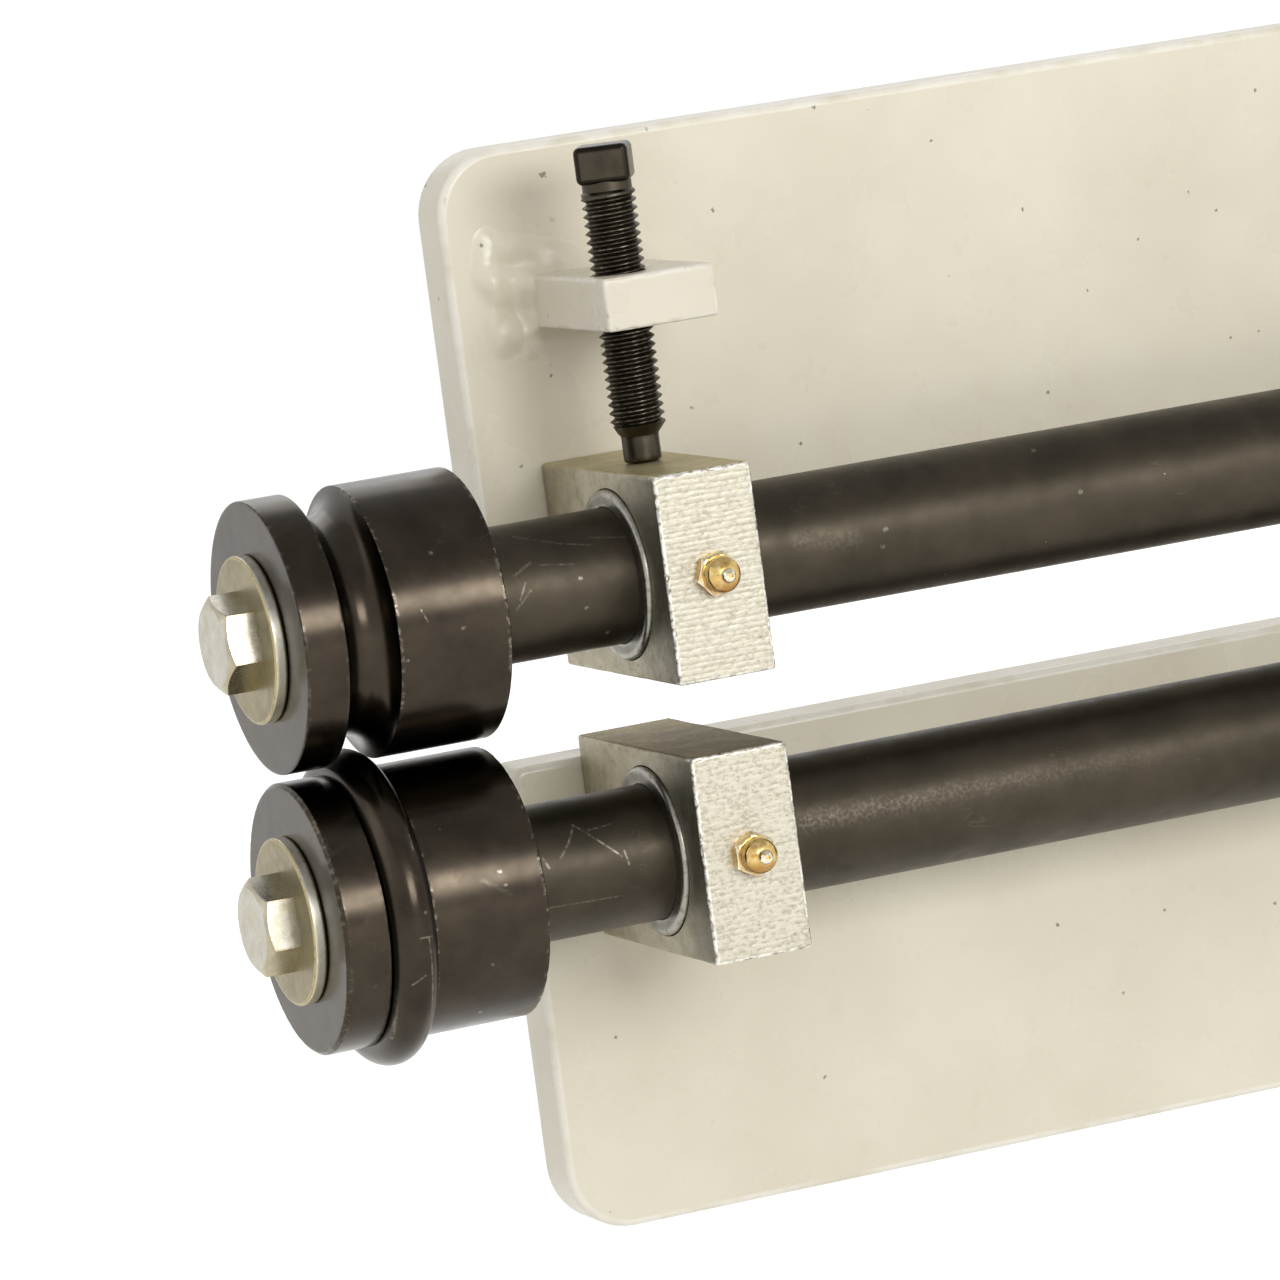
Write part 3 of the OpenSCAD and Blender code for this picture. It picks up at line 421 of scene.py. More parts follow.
def grow(piece, tree, finish, **values):
    # runs a shape tree on a piece and keeps the result as a plain mesh
    modifier = piece.modifiers.new(tree.name, "NODES")
    modifier.node_group = tree
    values["Finish"] = finishes[finish]
    for item in tree.interface.items_tree:
        if item.in_out == "INPUT" and item.name in values:
            modifier[item.identifier] = values[item.name]
    settle(piece)
    if "wear" not in piece.data.attributes:
        piece.data.attributes.new("wear", "FLOAT", "POINT")
    return piece


def threadTree():
    # cuts a helical thread into a round rod along Z
    flankTop, flankFoot = 0.86, 0.12               # as shares of half a pitch from the crest
    skinShare = 0.97                               # only what lies further out than this moves
    tree, source = shapeTree("thread", Pitch="Float", Depth="Float", Start="Float", End="Float",
                             Fade="Float", Radius="Float", Centre="Vector")
    position = addNode(tree, "InputPosition")
    local = addNode(tree, "VectorMath", position, source["Centre"], operation="SUBTRACT")
    x, y, z = addNode(tree, "SeparateXYZ", local).node.outputs
    flat = addNode(tree, "CombineXYZ", x, y)
    radius = addNode(tree, "VectorMath", flat, operation="LENGTH", out="Value")
    turn = addNode(tree, "Math", addNode(tree, "Math", y, x, operation="ARCTAN2"), 2 * math.pi,
                   operation="DIVIDE")
    phase = addNode(tree, "Math", addNode(tree, "Math", z, source["Pitch"], operation="DIVIDE"), turn,
                    operation="SUBTRACT")
    wave = addNode(tree, "Math", addNode(tree, "Math", phase, operation="FRACT"), 2.0, -1.0,
                   operation="MULTIPLY_ADD")
    tooth = addNode(tree, "MapRange", addNode(tree, "Math", wave, operation="ABSOLUTE"), flankTop, flankFoot)
    inEnd = addNode(tree, "Math", source["Start"], source["Fade"], operation="ADD")
    outEnd = addNode(tree, "Math", source["End"], source["Fade"], operation="SUBTRACT")
    inside = addNode(tree, "Math", source["Radius"], skinShare, operation="MULTIPLY")
    outside = addNode(tree, "Math", radius, inside, operation="GREATER_THAN")
    begun = addNode(tree, "MapRange", z, source["Start"], inEnd)
    ended = addNode(tree, "MapRange", z, source["End"], outEnd)
    mask = addNode(tree, "Math", begun, outside, operation="MULTIPLY")
    mask = addNode(tree, "Math", mask, ended, operation="MULTIPLY")
    cut = addNode(tree, "Math", addNode(tree, "Math", tooth, 1.0, operation="SUBTRACT"), source["Depth"],
                  operation="MULTIPLY")
    inward = addNode(tree, "Math", cut, mask, operation="MULTIPLY")
    away = addNode(tree, "VectorMath", flat, operation="NORMALIZE")
    shift = addNode(tree, "VectorMath", away, Scale=inward, operation="SCALE")
    moved = addNode(tree, "SetPosition", source["Geometry"], Offset=shift)
    crest = addNode(tree, "Math", addNode(tree, "Math", tooth, 4.0, operation="POWER"), mask,
                    operation="MULTIPLY")
    marked = addNode(tree, "StoreNamedAttribute", moved, Name="wear", Value=crest, data_type="FLOAT")
    return endTree(tree, source, marked)


sawMarks = {
    "wanderSize": 3 * mm, "wanderStretch": (0.1, 0.1, 1.0), "wander": 1.6,
    "ridge": (0.98, 0.5), "tornSize": 0.7 * mm, "tornStretch": (0.6, 1.0, 1.0), "torn": (0.34, 0.6),
}


def sawLines(tree, place, pitch, share, marks=sawMarks):
    # the height of a power saw's lines, 0 in a valley and 1 on a ridge: they run along X,
    # wander a little and break up; share is how strong they are against the torn grain
    z = addNode(tree, "SeparateXYZ", place, out="Z")
    long = addNode(tree, "VectorMath", place, marks["wanderStretch"], operation="MULTIPLY")
    wander = addNode(tree, "TexNoise", long, Scale=1 / marks["wanderSize"], Detail=2.0)
    phase = addNode(tree, "Math", addNode(tree, "Math", z, pitch, operation="DIVIDE"),
                    addNode(tree, "Math", wander, marks["wander"], operation="MULTIPLY"), operation="ADD")
    wave = addNode(tree, "Math", addNode(tree, "Math", phase, operation="FRACT"), 2.0, -1.0,
                   operation="MULTIPLY_ADD")
    ridge = addNode(tree, "MapRange", addNode(tree, "Math", wave, operation="ABSOLUTE"), *marks["ridge"])
    torn = addNode(tree, "VectorMath", place, marks["tornStretch"], operation="MULTIPLY")
    rough = addNode(tree, "TexNoise", torn, Scale=1 / marks["tornSize"], Detail=3.0, Roughness=0.65)
    grain = addNode(tree, "MapRange", rough, *marks["torn"])
    lined = addNode(tree, "Math", ridge, addNode(tree, "MapRange", grain, 0.0, 1.0, 0.5, 1.0),
                    operation="MULTIPLY")
    lines = addNode(tree, "Math", lined, share, operation="MULTIPLY")
    rest = addNode(tree, "Math", 1.0, share, operation="SUBTRACT")
    return addNode(tree, "Math", grain, rest, lines, operation="MULTIPLY_ADD")


def sawnTree():
    # saw lines across the face that looks towards -Y, and small chips along all edges; without
    # a Pitch, Depth and Lines there are chips only
    tree, source = shapeTree("sawn", Pitch="Float", Depth="Float", Lines="Float", Chips="Float",
                             ChipSize="Float", Seed="Float")
    position, normal = addNode(tree, "InputPosition"), addNode(tree, "InputNormal")
    facing = addNode(tree, "SeparateXYZ", normal, out="Y")
    near = addNode(tree, "MapRange", facing, -0.3, -0.8)
    height = sawLines(tree, position, source["Pitch"], source["Lines"])
    sawn = addNode(tree, "Math", addNode(tree, "Math", height, 1.0, operation="SUBTRACT"), source["Depth"],
                   operation="MULTIPLY")
    edge = addNode(tree, "InputNamedAttribute", "wear", data_type="FLOAT")
    fineness = addNode(tree, "Math", 1.0, source["ChipSize"], operation="DIVIDE")
    grains = addNode(tree, "TexNoise", position, source["Seed"], noise_dimensions="4D", Scale=fineness,
                     Detail=3.0, Roughness=0.65)
    chip = addNode(tree, "Math", addNode(tree, "MapRange", grains, 0.52, 0.75), source["Chips"],
                   operation="MULTIPLY")
    chipped = addNode(tree, "Math", chip, edge, operation="MULTIPLY")
    total = addNode(tree, "Math", addNode(tree, "Math", sawn, near, operation="MULTIPLY"), chipped,
                    operation="SUBTRACT")
    shift = addNode(tree, "VectorMath", normal, Scale=total, operation="SCALE")
    return endTree(tree, source, addNode(tree, "SetPosition", source["Geometry"], Offset=shift))


def weldTree():
    # a weld bead along a path: a lumpy rope with ripples, and ends that close like a dome
    tree, source = shapeTree("weld", HalfWidth="Float", Ripple="Float", RippleDepth="Float", Lumps="Float",
                             LumpSize="Float", Step="Float", Seed="Float")
    path = addNode(tree, "MeshToCurve", source["Geometry"])
    even = addNode(tree, "ResampleCurve", path, Length=source["Step"], mode="LENGTH")
    factor, length = addNode(tree, "SplineParameter").node.outputs[:2]
    turns = addNode(tree, "Math", length, source["Ripple"], operation="DIVIDE")
    ripple = addNode(tree, "Math", addNode(tree, "Math", turns, 2 * math.pi, operation="MULTIPLY"),
                     operation="SINE")
    fineness = addNode(tree, "Math", 1.0, source["LumpSize"], operation="DIVIDE")
    lumps = addNode(tree, "TexNoise", addNode(tree, "InputPosition"), source["Seed"],
                    noise_dimensions="4D", Scale=fineness, Detail=1.0)
    swell = addNode(tree, "Math", addNode(tree, "Math", lumps, 0.5, operation="SUBTRACT"), source["Lumps"],
                    1.0, operation="MULTIPLY_ADD")
    girth = addNode(tree, "Math", ripple, source["RippleDepth"], swell, operation="MULTIPLY_ADD")
    fromMiddle = addNode(tree, "Math", addNode(tree, "Math", factor, 2.0, -1.0, operation="MULTIPLY_ADD"),
                         operation="ABSOLUTE")
    outer = addNode(tree, "Math", fromMiddle, 4.0, operation="POWER")
    dome = addNode(tree, "Math", addNode(tree, "Math", 1.0, outer, operation="SUBTRACT"), operation="SQRT")
    girth = addNode(tree, "Math", girth, dome, operation="MULTIPLY")
    rope = addNode(tree, "CurvePrimitiveCircle", Resolution=24, Radius=source["HalfWidth"])
    return endTree(tree, source, addNode(tree, "CurveToMesh", even, rope, girth, True))


def gearTree():
    # involute teeth round a disc with a bore, lying flat and pushed up along Z
    tree, source = shapeTree("gear", Teeth="Int", Tip="Float", Root="Float", Base="Float",
                             HalfTooth="Float", Width="Float", Bore="Float", Turn="Float")
    flank, points = 6.0, 16.0                      # steps on a flank, points on a tooth
    ring = addNode(tree, "MeshCircle", addNode(tree, "Math", source["Teeth"], points, operation="MULTIPLY"))
    index = addNode(tree, "InputIndex")
    step = addNode(tree, "Math", index, points, operation="FLOORED_MODULO")
    toothAt = addNode(tree, "Math", addNode(tree, "Math", index, 0.5, operation="ADD"), points,
                      operation="DIVIDE")
    tooth = addNode(tree, "Math", toothAt, operation="FLOOR")
    side = addNode(tree, "Math", addNode(tree, "Math", step, points / 2 - 0.5, operation="GREATER_THAN"),
                   2.0, -1.0, operation="MULTIPLY_ADD")
    # -1 at the root, then 0 to 6 up the flank and down again
    level = addNode(tree, "Math", addNode(tree, "Math", step, 1.0, operation="SUBTRACT"),
                    addNode(tree, "Math", points - 2, step, operation="SUBTRACT"), operation="MINIMUM")
    share = addNode(tree, "MapRange", level, 0.0, flank)
    span = addNode(tree, "Math", source["Tip"], source["Base"], operation="SUBTRACT")
    onFlank = addNode(tree, "Math", share, span, source["Base"], operation="MULTIPLY_ADD")
    atRoot = addNode(tree, "Math", level, -0.5, operation="LESS_THAN")
    drop = addNode(tree, "Math", source["Root"], source["Base"], operation="SUBTRACT")
    radius = addNode(tree, "Math", atRoot, drop, onFlank, operation="MULTIPLY_ADD")
    ratio = addNode(tree, "Math", addNode(tree, "Math", source["Base"], onFlank, operation="DIVIDE"), 1.0,
                    operation="MINIMUM")
    opening = addNode(tree, "Math", ratio, operation="ARCCOSINE")
    involute = addNode(tree, "Math", addNode(tree, "Math", opening, operation="TANGENT"), opening,
                       operation="SUBTRACT")
    half = addNode(tree, "Math", source["HalfTooth"], involute, operation="SUBTRACT")
    centre = addNode(tree, "Math", addNode(tree, "Math", tooth, 2 * math.pi, operation="MULTIPLY"),
                     source["Teeth"], operation="DIVIDE")
    angle = addNode(tree, "Math", side, half, addNode(tree, "Math", centre, source["Turn"], operation="ADD"),
                    operation="MULTIPLY_ADD")
    spot = addNode(tree, "CombineXYZ",
                   addNode(tree, "Math", radius, addNode(tree, "Math", angle, operation="COSINE"),
                           operation="MULTIPLY"),
                   addNode(tree, "Math", radius, addNode(tree, "Math", angle, operation="SINE"),
                           operation="MULTIPLY"))
    outline = addNode(tree, "MeshToCurve", addNode(tree, "SetPosition", ring, Position=spot))
    bore = addNode(tree, "CurvePrimitiveCircle", Resolution=96, Radius=source["Bore"])
    face = addNode(tree, "FillCurve", addNode(tree, "JoinGeometry", [outline, bore]))
    body = addNode(tree, "ExtrudeMesh", face, Offset=addNode(tree, "CombineXYZ", Z=source["Width"]),
                   Offset_Scale=1.0, Individual=False)
    whole = addNode(tree, "JoinGeometry", [body, addNode(tree, "FlipFaces", face)])
    return endTree(tree, source, addNode(tree, "MergeByDistance", whole, Distance=1e-6))


def patternTree():
    # copies one fastener to the corners of a rectangle in XZ
    tree, source = shapeTree("fastener pattern", SpacingX="Float", SpacingZ="Float")
    grid = addNode(tree, "MeshGrid", source["SpacingX"], source["SpacingZ"], 2, 2)
    upright = addNode(tree, "Transform", grid, Rotation=(math.pi / 2, 0, 0))
    return endTree(tree, source, addNode(tree, "InstanceOnPoints", upright, Instance=source["Geometry"]))


threads = threadTree()
sawnFaces = sawnTree()
weldBeads = weldTree()
gearBlanks = gearTree()
fastenerPattern = patternTree()
print("shape trees built")

# Finishes


def newFinish(name, **surface):
    # a material with its tree and shader, the shader's constants set on their own sockets
    material = bpy.data.materials.new(name)
    material.use_nodes = True
    shader = material.node_tree.nodes["Principled BSDF"]
    for socket, value in surface.items():
        shader.inputs[socket.replace("_", " ")].default_value = value
    return material, material.node_tree, shader


def dress(tree, shader, **patterns):
    # links patterns to the shader's sockets
    for socket, pattern in patterns.items():
        tree.links.new(pattern, shader.inputs[socket.replace("_", " ")])


def mottle(tree, where, lumps, first=0.0, second=1.0, low=0.35, high=0.65, detail=3.0):
    # clouds about lumps metres wide, between two numbers or two hex codes
    clouds = addNode(tree, "TexNoise", where, Scale=1 / lumps, Detail=detail, Roughness=0.6)
    if isinstance(first, str):
        share = addNode(tree, "MapRange", clouds, low, high)
        return addNode(tree, "Mix", share, first, second, data_type="RGBA")
    return addNode(tree, "MapRange", clouds, low, high, first, second)


def relief(tree, where, sizes, under=None, detail=3.0):
    # unevenness that only bends the light: sizes are its width and height, under is a relief
    # that it lies on
    width, height = sizes
    clouds = mottle(tree, where, width, low=0, high=1, detail=detail)
    return addNode(tree, "Bump", Distance=height, Height=clouds, Normal=[under] if under else [])


def specks(tree, where, spacing, radius, amount):
    # sparse dots: spacing and radius in metres, amount is the share of cells with a dot
    # each dot's outline is bent by a noise about as coarse as the dot
    bent = addNode(tree, "TexNoise", where, Scale=0.8 / radius, Detail=1.0, out="Color")
    shake = addNode(tree, "VectorMath", bent, (2 * radius,) * 3, where, operation="MULTIPLY_ADD")
    cells = addNode(tree, "TexVoronoi", shake, Scale=1 / spacing).node.outputs
    dot = addNode(tree, "MapRange", cells["Distance"], radius / spacing, 0.6 * radius / spacing)
    chance = addNode(tree, "SeparateColor", cells["Color"])
    kept = addNode(tree, "Math", chance, amount, operation="LESS_THAN")
    return addNode(tree, "Math", dot, kept, operation="MULTIPLY")


def scratchWeb(tree, where, spacing, width, patch):
    # thin wandering scratches: the level line of a noise, kept in patches only; width is a
    # share of the noise's own height
    field = addNode(tree, "TexNoise", where, Scale=1 / spacing, Detail=1.0, Distortion=0.6)
    off = addNode(tree, "Math", addNode(tree, "Math", field, 0.5, operation="SUBTRACT"), operation="ABSOLUTE")
    line = addNode(tree, "MapRange", off, width, 0.3 * width)
    kept = mottle(tree, where, patch, low=0.52, high=0.6, detail=1.0)
    return addNode(tree, "Math", line, kept, operation="MULTIPLY")


def wearMask(tree, where, lumps, least=0.35):
    # the worn edges that the mesh marks, broken up by noise
    marked = addNode(tree, "Attribute", attribute_name="wear", out="Fac")
    return addNode(tree, "Math", marked, mottle(tree, where, lumps, low=least, high=least + 0.2),
                   operation="MULTIPLY")


def scribed(tree, where, lines):
    # scratches on the side towards the user: each from (x, z) to (x, z) with its width, in
    # millimetres, and its strength; they break up as a dragged edge leaves them
    y = addNode(tree, "SeparateXYZ", where, out="Y")
    flat = addNode(tree, "VectorMath", where, (1, 0, 1), operation="MULTIPLY")
    total = 0.0
    for ax, az, bx, bz, width, strength in lines:
        run = Vector((bx - ax, 0, bz - az)) * mm
        off = addNode(tree, "VectorMath", flat, Vector((ax, 0, az)) * mm, operation="SUBTRACT")
        along = addNode(tree, "VectorMath", off, run, operation="DOT_PRODUCT", out="Value")
        share = addNode(tree, "MapRange", along, 0.0, run.length_squared)
        nearest = addNode(tree, "VectorMath", run, Scale=share, operation="SCALE")
        gap = addNode(tree, "VectorMath", off, nearest, operation="DISTANCE", out="Value")
        line = addNode(tree, "MapRange", gap, 1.3 * width * mm, 0.3 * width * mm, 0.0, strength)
        total = addNode(tree, "Math", total, line, operation="MAXIMUM")
    broken = mottle(tree, where, 1.1 * mm, 0.1, 0.8, low=0.4, high=0.6)
    total = addNode(tree, "Math", total, broken, operation="MULTIPLY")
    front = addNode(tree, "Math", y, middle("upper_shaft").y, operation="LESS_THAN")
    return addNode(tree, "Math", total, front, operation="MULTIPLY")


enamelLook = {
    "tones": ("#E6DFCB", "#DDD5C0"), "cloud": 60 * mm,
    "grime": "#C9BFA6", "grimeCloud": 9 * mm, "grimeStrength": 0.25,
    "dirt": "#62583F", "dirtStrength": 0.75,
    "dirtSpecks": ((7 * mm, 0.5 * mm), (19 * mm, 0.8 * mm)),        # spacing, radius
    # how far from the dirty place the specks thin out, and their amount near it and far away
    "dirtyPlace": (-480 * mm, 0, 205 * mm), "dirtyWithin": (20 * mm, 75 * mm), "dirtAmount": (0.9, 0.16),
    "dust": "#F6F2E8", "dustStrength": 0.6, "dustSpecks": (8 * mm, 0.35 * mm, 0.2),     # and amount
    # the pale rounded edges of the cream enamel are a painted highlight
    "paleEdge": "#F8F5EC", "paleEdgeStrength": 0.6, "paleEdgePatch": 12 * mm,
    "chips": 0.0, "chipPatch": 2.6 * mm,
    "bare": ("#77694B", "#B9B4A6"), "bareCloud": 1.5 * mm,          # primer or rust, and bare steel
    "sheen": (0.24, 0.36), "sheenCloud": 18 * mm, "pitDepth": 0.08 * mm,
    "waves": (26 * mm, 0.25 * mm), "peel": (1.6 * mm, 0.014 * mm),  # width, height
}
lugEnamelLook = dict(enamelLook, tones=("#E6DFCE", "#DCD4C2"), chips=0.8)


def creamEnamel(name, look):
    # sprayed gloss enamel on hot rolled plate: soft sheen, orange peel over a slightly wavy
    # plate, specks of dirt and weld spatter in the paint, thicker round the lug
    material, tree, shader = newFinish(name, Specular_IOR_Level=0.5)
    where = addNode(tree, "TexCoord", out="Object")
    base = mottle(tree, where, look["cloud"], *look["tones"])
    grime = mottle(tree, where, look["grimeCloud"], 0.0, look["grimeStrength"], low=0.6, high=0.85,
                   detail=4.0)
    base = addNode(tree, "Mix", grime, base, look["grime"], data_type="RGBA")
    away = addNode(tree, "VectorMath", where, look["dirtyPlace"], operation="DISTANCE", out="Value")
    amount = addNode(tree, "MapRange", away, *look["dirtyWithin"], *look["dirtAmount"])
    small, large = [specks(tree, where, *sizes, amount) for sizes in look["dirtSpecks"]]
    dirt = addNode(tree, "Math", small, large, operation="MAXIMUM")
    dirty = addNode(tree, "Math", dirt, look["dirtStrength"], operation="MULTIPLY")
    base = addNode(tree, "Mix", dirty, base, look["dirt"], data_type="RGBA")
    dust = addNode(tree, "Math", specks(tree, where, *look["dustSpecks"]), look["dustStrength"],
                   operation="MULTIPLY")
    base = addNode(tree, "Mix", dust, base, look["dust"], data_type="RGBA")
    # painted highlight: the rounded edges are mixed towards a near white
    paleEdge = addNode(tree, "Math", wearMask(tree, where, look["paleEdgePatch"]), look["paleEdgeStrength"],
                     operation="MULTIPLY")
    base = addNode(tree, "Mix", paleEdge, base, look["paleEdge"], data_type="RGBA")
    chips = addNode(tree, "Math", wearMask(tree, where, look["chipPatch"], 0.6), look["chips"],
                    operation="MULTIPLY")
    bare = mottle(tree, where, look["bareCloud"], *look["bare"])
    base = addNode(tree, "Mix", chips, base, bare, data_type="RGBA")
    sunken = addNode(tree, "Math", addNode(tree, "Math", dirt, chips, operation="MAXIMUM"), -1.0,
                     operation="MULTIPLY")
    waves = relief(tree, where, look["waves"], detail=1.0)
    peel = relief(tree, where, look["peel"], waves, detail=1.0)
    pits = addNode(tree, "Bump", Distance=look["pitDepth"], Height=sunken, Normal=peel)
    dress(tree, shader, Base_Color=base, Normal=pits,
          Roughness=mottle(tree, where, look["sheenCloud"], *look["sheen"]))
    return material


sawnLook = {
    # the valley tone is partly torn grain and partly painted shade in the saw lines' valleys
    "pitch": 1.32 * mm, "near": ("#A5A08F", "#BFBAAB"),     # the saw's lines: in a valley, on a ridge
    "lines": {"upper": 0.55, "lower": 0.3},                 # how strong they are on each row
    "rowSplit": 131.5 * mm, "flatCloud": 7 * mm,
    # the lying faces' tones are partly the rolled bar's own olive and partly painted shade, darkest on the
    # lower row under the upper one
    "upperFlat": ("#AFA47E", "#C4BA97"), "lowerFlat": ("#6F6138", "#8B7E56"),
    "side": ("#A29B85", "#B9B29F"), "sideCloud": 6 * mm,
    # the depths between which the painted side shade and the burrs grow to their full strength
    "oily": "#6F6B5D", "sideShadeCloud": 9 * mm, "sideShadeStrength": 0.9, "sideShadeWithin": (-50 * mm, -73 * mm),
    "burr": "#EFECE2", "burrPatch": 1.5 * mm, "burrWithin": (-71 * mm, -73.5 * mm),
    "stain": "#7A7259", "stainPatch": 2.4 * mm, "stained": 0.45,
    "rough": (0.42, 0.58), "roughCloud": 1.2 * mm,
    "drawn": (0.9 * mm, 0.012 * mm), "fine": (0.4 * mm, 0.02 * mm),     # width, height
}


def sawnSteel(look):
    # bar cut with a power saw and left bare: its sawn side is a field of torn ridges, pale where
    # they are high, with painted shade in the valleys; the rolled sides are flat, warmer and a little
    # stained, with bright burrs, and their lying faces are painted darker as painted shade
    material, tree, shader = newFinish("sawn steel", Metallic=1.0)
    where = addNode(tree, "TexCoord", out="Object")
    normal = addNode(tree, "SeparateXYZ", addNode(tree, "TexCoord", out="Normal")).node.outputs
    y, z = addNode(tree, "SeparateXYZ", where).node.outputs[1:]
    upper = addNode(tree, "Math", z, look["rowSplit"], operation="GREATER_THAN")
    lines = addNode(tree, "MapRange", upper, 0.0, 1.0, look["lines"]["lower"], look["lines"]["upper"])
    ridges = sawLines(tree, where, look["pitch"], lines)
    # painted shade: the valleys of the saw lines take the darker tone
    high = addNode(tree, "MapRange", ridges, 0.15, 0.7)
    near = addNode(tree, "Mix", high, *look["near"], data_type="RGBA")
    # painted shade: the lying faces are darker than the upright sides, and the lower row's are darkest
    rows = [mottle(tree, where, look["flatCloud"], *look[row]) for row in ("lowerFlat", "upperFlat")]
    flats = addNode(tree, "Mix", upper, *rows, data_type="RGBA")
    lying = addNode(tree, "MapRange", addNode(tree, "Math", normal["Z"], operation="ABSOLUTE"), 0.6, 0.85)
    # painted shade: the upright sides are painted darker towards the sawn side
    oily = addNode(tree, "Math", addNode(tree, "MapRange", y, *look["sideShadeWithin"], 0.0, look["sideShadeStrength"]),
                   mottle(tree, where, look["sideShadeCloud"], 0.75, 1.0), operation="MULTIPLY")
    side = mottle(tree, where, look["sideCloud"], *look["side"], detail=4.0)
    side = addNode(tree, "Mix", oily, side, look["oily"], data_type="RGBA")
    rolledAndShaded = addNode(tree, "Mix", lying, side, flats, data_type="RGBA")
    nearFace = addNode(tree, "MapRange", normal["Y"], -0.7, -0.92)
    base = addNode(tree, "Mix", nearFace, rolledAndShaded, near, data_type="RGBA")
    stained = mottle(tree, where, look["stainPatch"], 0.0, look["stained"], low=0.6, high=0.74)
    base = addNode(tree, "Mix", stained, base, look["stain"], data_type="RGBA")
    burr = addNode(tree, "Math", wearMask(tree, where, look["burrPatch"], 0.36),
                   addNode(tree, "MapRange", y, *look["burrWithin"]), operation="MULTIPLY")
    base = addNode(tree, "Mix", burr, base, look["burr"], data_type="RGBA")
    long = addNode(tree, "Mapping", where, Scale=(0.1, 1, 0.1))
    fine = relief(tree, where, look["fine"], relief(tree, long, look["drawn"]))
    dress(tree, shader, Base_Color=base, Normal=fine,
          Roughness=mottle(tree, where, look["roughCloud"], *look["rough"], low=0.3, high=0.7))
    return material


metalPatches = {"worn": 1.6 * mm, "rough": 1.5 * mm}        # the same on every plain metal


def plainMetal(name, look):
    # turned, plated or faced metal: clouds of tone, a stain, worn edges, fine tool lines, and painted shade
    # on the undersides
    material, tree, shader = newFinish(name, Metallic=1.0)
    where = addNode(tree, "TexCoord", out="Object")
    base = mottle(tree, where, look["cloud"], *look["tones"])
    stained = mottle(tree, where, 3 * look["cloud"], 0.0, look["stained"], low=0.52, high=0.7)
    base = addNode(tree, "Mix", stained, base, look["stain"], data_type="RGBA")
    # painted shade: the undersides are mixed towards the stain colour
    up = addNode(tree, "SeparateXYZ", addNode(tree, "TexCoord", out="Normal"), out="Z")
    under = addNode(tree, "MapRange", up, 0.0, -0.7, 0.0, look["under"])
    base = addNode(tree, "Mix", under, base, look["stain"], data_type="RGBA")
    worn = addNode(tree, "Math", wearMask(tree, where, metalPatches["worn"], 0.3), look["worn"],
                   operation="MULTIPLY")
    base = addNode(tree, "Mix", worn, base, look["edge"], data_type="RGBA")
    along = addNode(tree, "Mapping", where, Scale=look["lineScale"])
    dress(tree, shader, Base_Color=base, Normal=relief(tree, along, look["lines"]),
          Roughness=mottle(tree, where, metalPatches["rough"], *look["rough"], low=0.3, high=0.7))
    return material


# under, in each plain metal look, is how strongly the undersides are painted darker, as painted shade
bushMetalLook = {
    # turned and reamed steel: smooth, cool grey, with tool lines round the bore; its pale rounded rims are
    # partly wear and partly a painted highlight
    "tones": ("#6F6B5F", "#87837A"), "cloud": 3 * mm, "stain": "#5C584D", "stained": 0.4, "edge": "#BDBBB2",
    "worn": 0.5, "rough": (0.26, 0.36), "lineScale": (1, 0.05, 0.05), "lines": (0.5 * mm, 0.004 * mm),
    "under": 0.2,
}
zincLook = {
    # bright zinc plate with a thin yellow passivate: silvery, clouded with straw
    "tones": ("#ABA798", "#BBB8AC"), "cloud": 4 * mm, "stain": "#A89B6E", "stained": 0.45, "edge": "#A8946A",
    "worn": 0.5, "rough": (0.2, 0.3), "lineScale": (0.1, 1, 1), "lines": (0.5 * mm, 0.0015 * mm),
    "under": 0.5,
}
washerMetalLook = dict(
    # the same plating on a blanked washer: duller and more olive; its rolled rim gets a painted highlight, a
    # brighter copy of the plating
    zincLook, tones=("#857B5C", "#958B6D"), stain="#6F6648", edge="#C9B98A", rough=(0.3, 0.42), cloud=5 * mm,
)
# a brighter copy of the plating for the washer rims, a painted highlight
rimHighlightLook = dict(zincLook, tones=("#DDDACB", "#EEECE2"), stain="#D2C9A6", stained=0.3, rough=(0.3, 0.42))
brassLook = {
    # turned free cutting brass: warm, glossy, a little tarnished between the flats, with painted shade on its
    # undersides
    # its near-white worn edges, on the nipple's ball and crown, are partly wear and partly a painted
    # highlight
    "tones": ("#CBA45A", "#E6CC8E"), "cloud": 1.5 * mm, "stain": "#8F6230", "stained": 0.5, "edge": "#F1EBD8",
    "worn": 0.9, "rough": (0.16, 0.26), "lineScale": (0.05, 1, 0.05), "lines": (0.5 * mm, 0.003 * mm),
    "under": 0.8,
}
machinedLook = {
    # hobbed and faced steel with a film of oil: mid grey, satin, a little stained
    "tones": ("#85827A", "#A09D94"), "cloud": 6 * mm, "stain": "#6B6353", "stained": 0.5, "edge": "#C4C1B8",
    "worn": 0.6, "rough": (0.28, 0.42), "lineScale": (1, 0.05, 0.05), "lines": (0.5 * mm, 0.008 * mm),
    "under": 0.4,
}

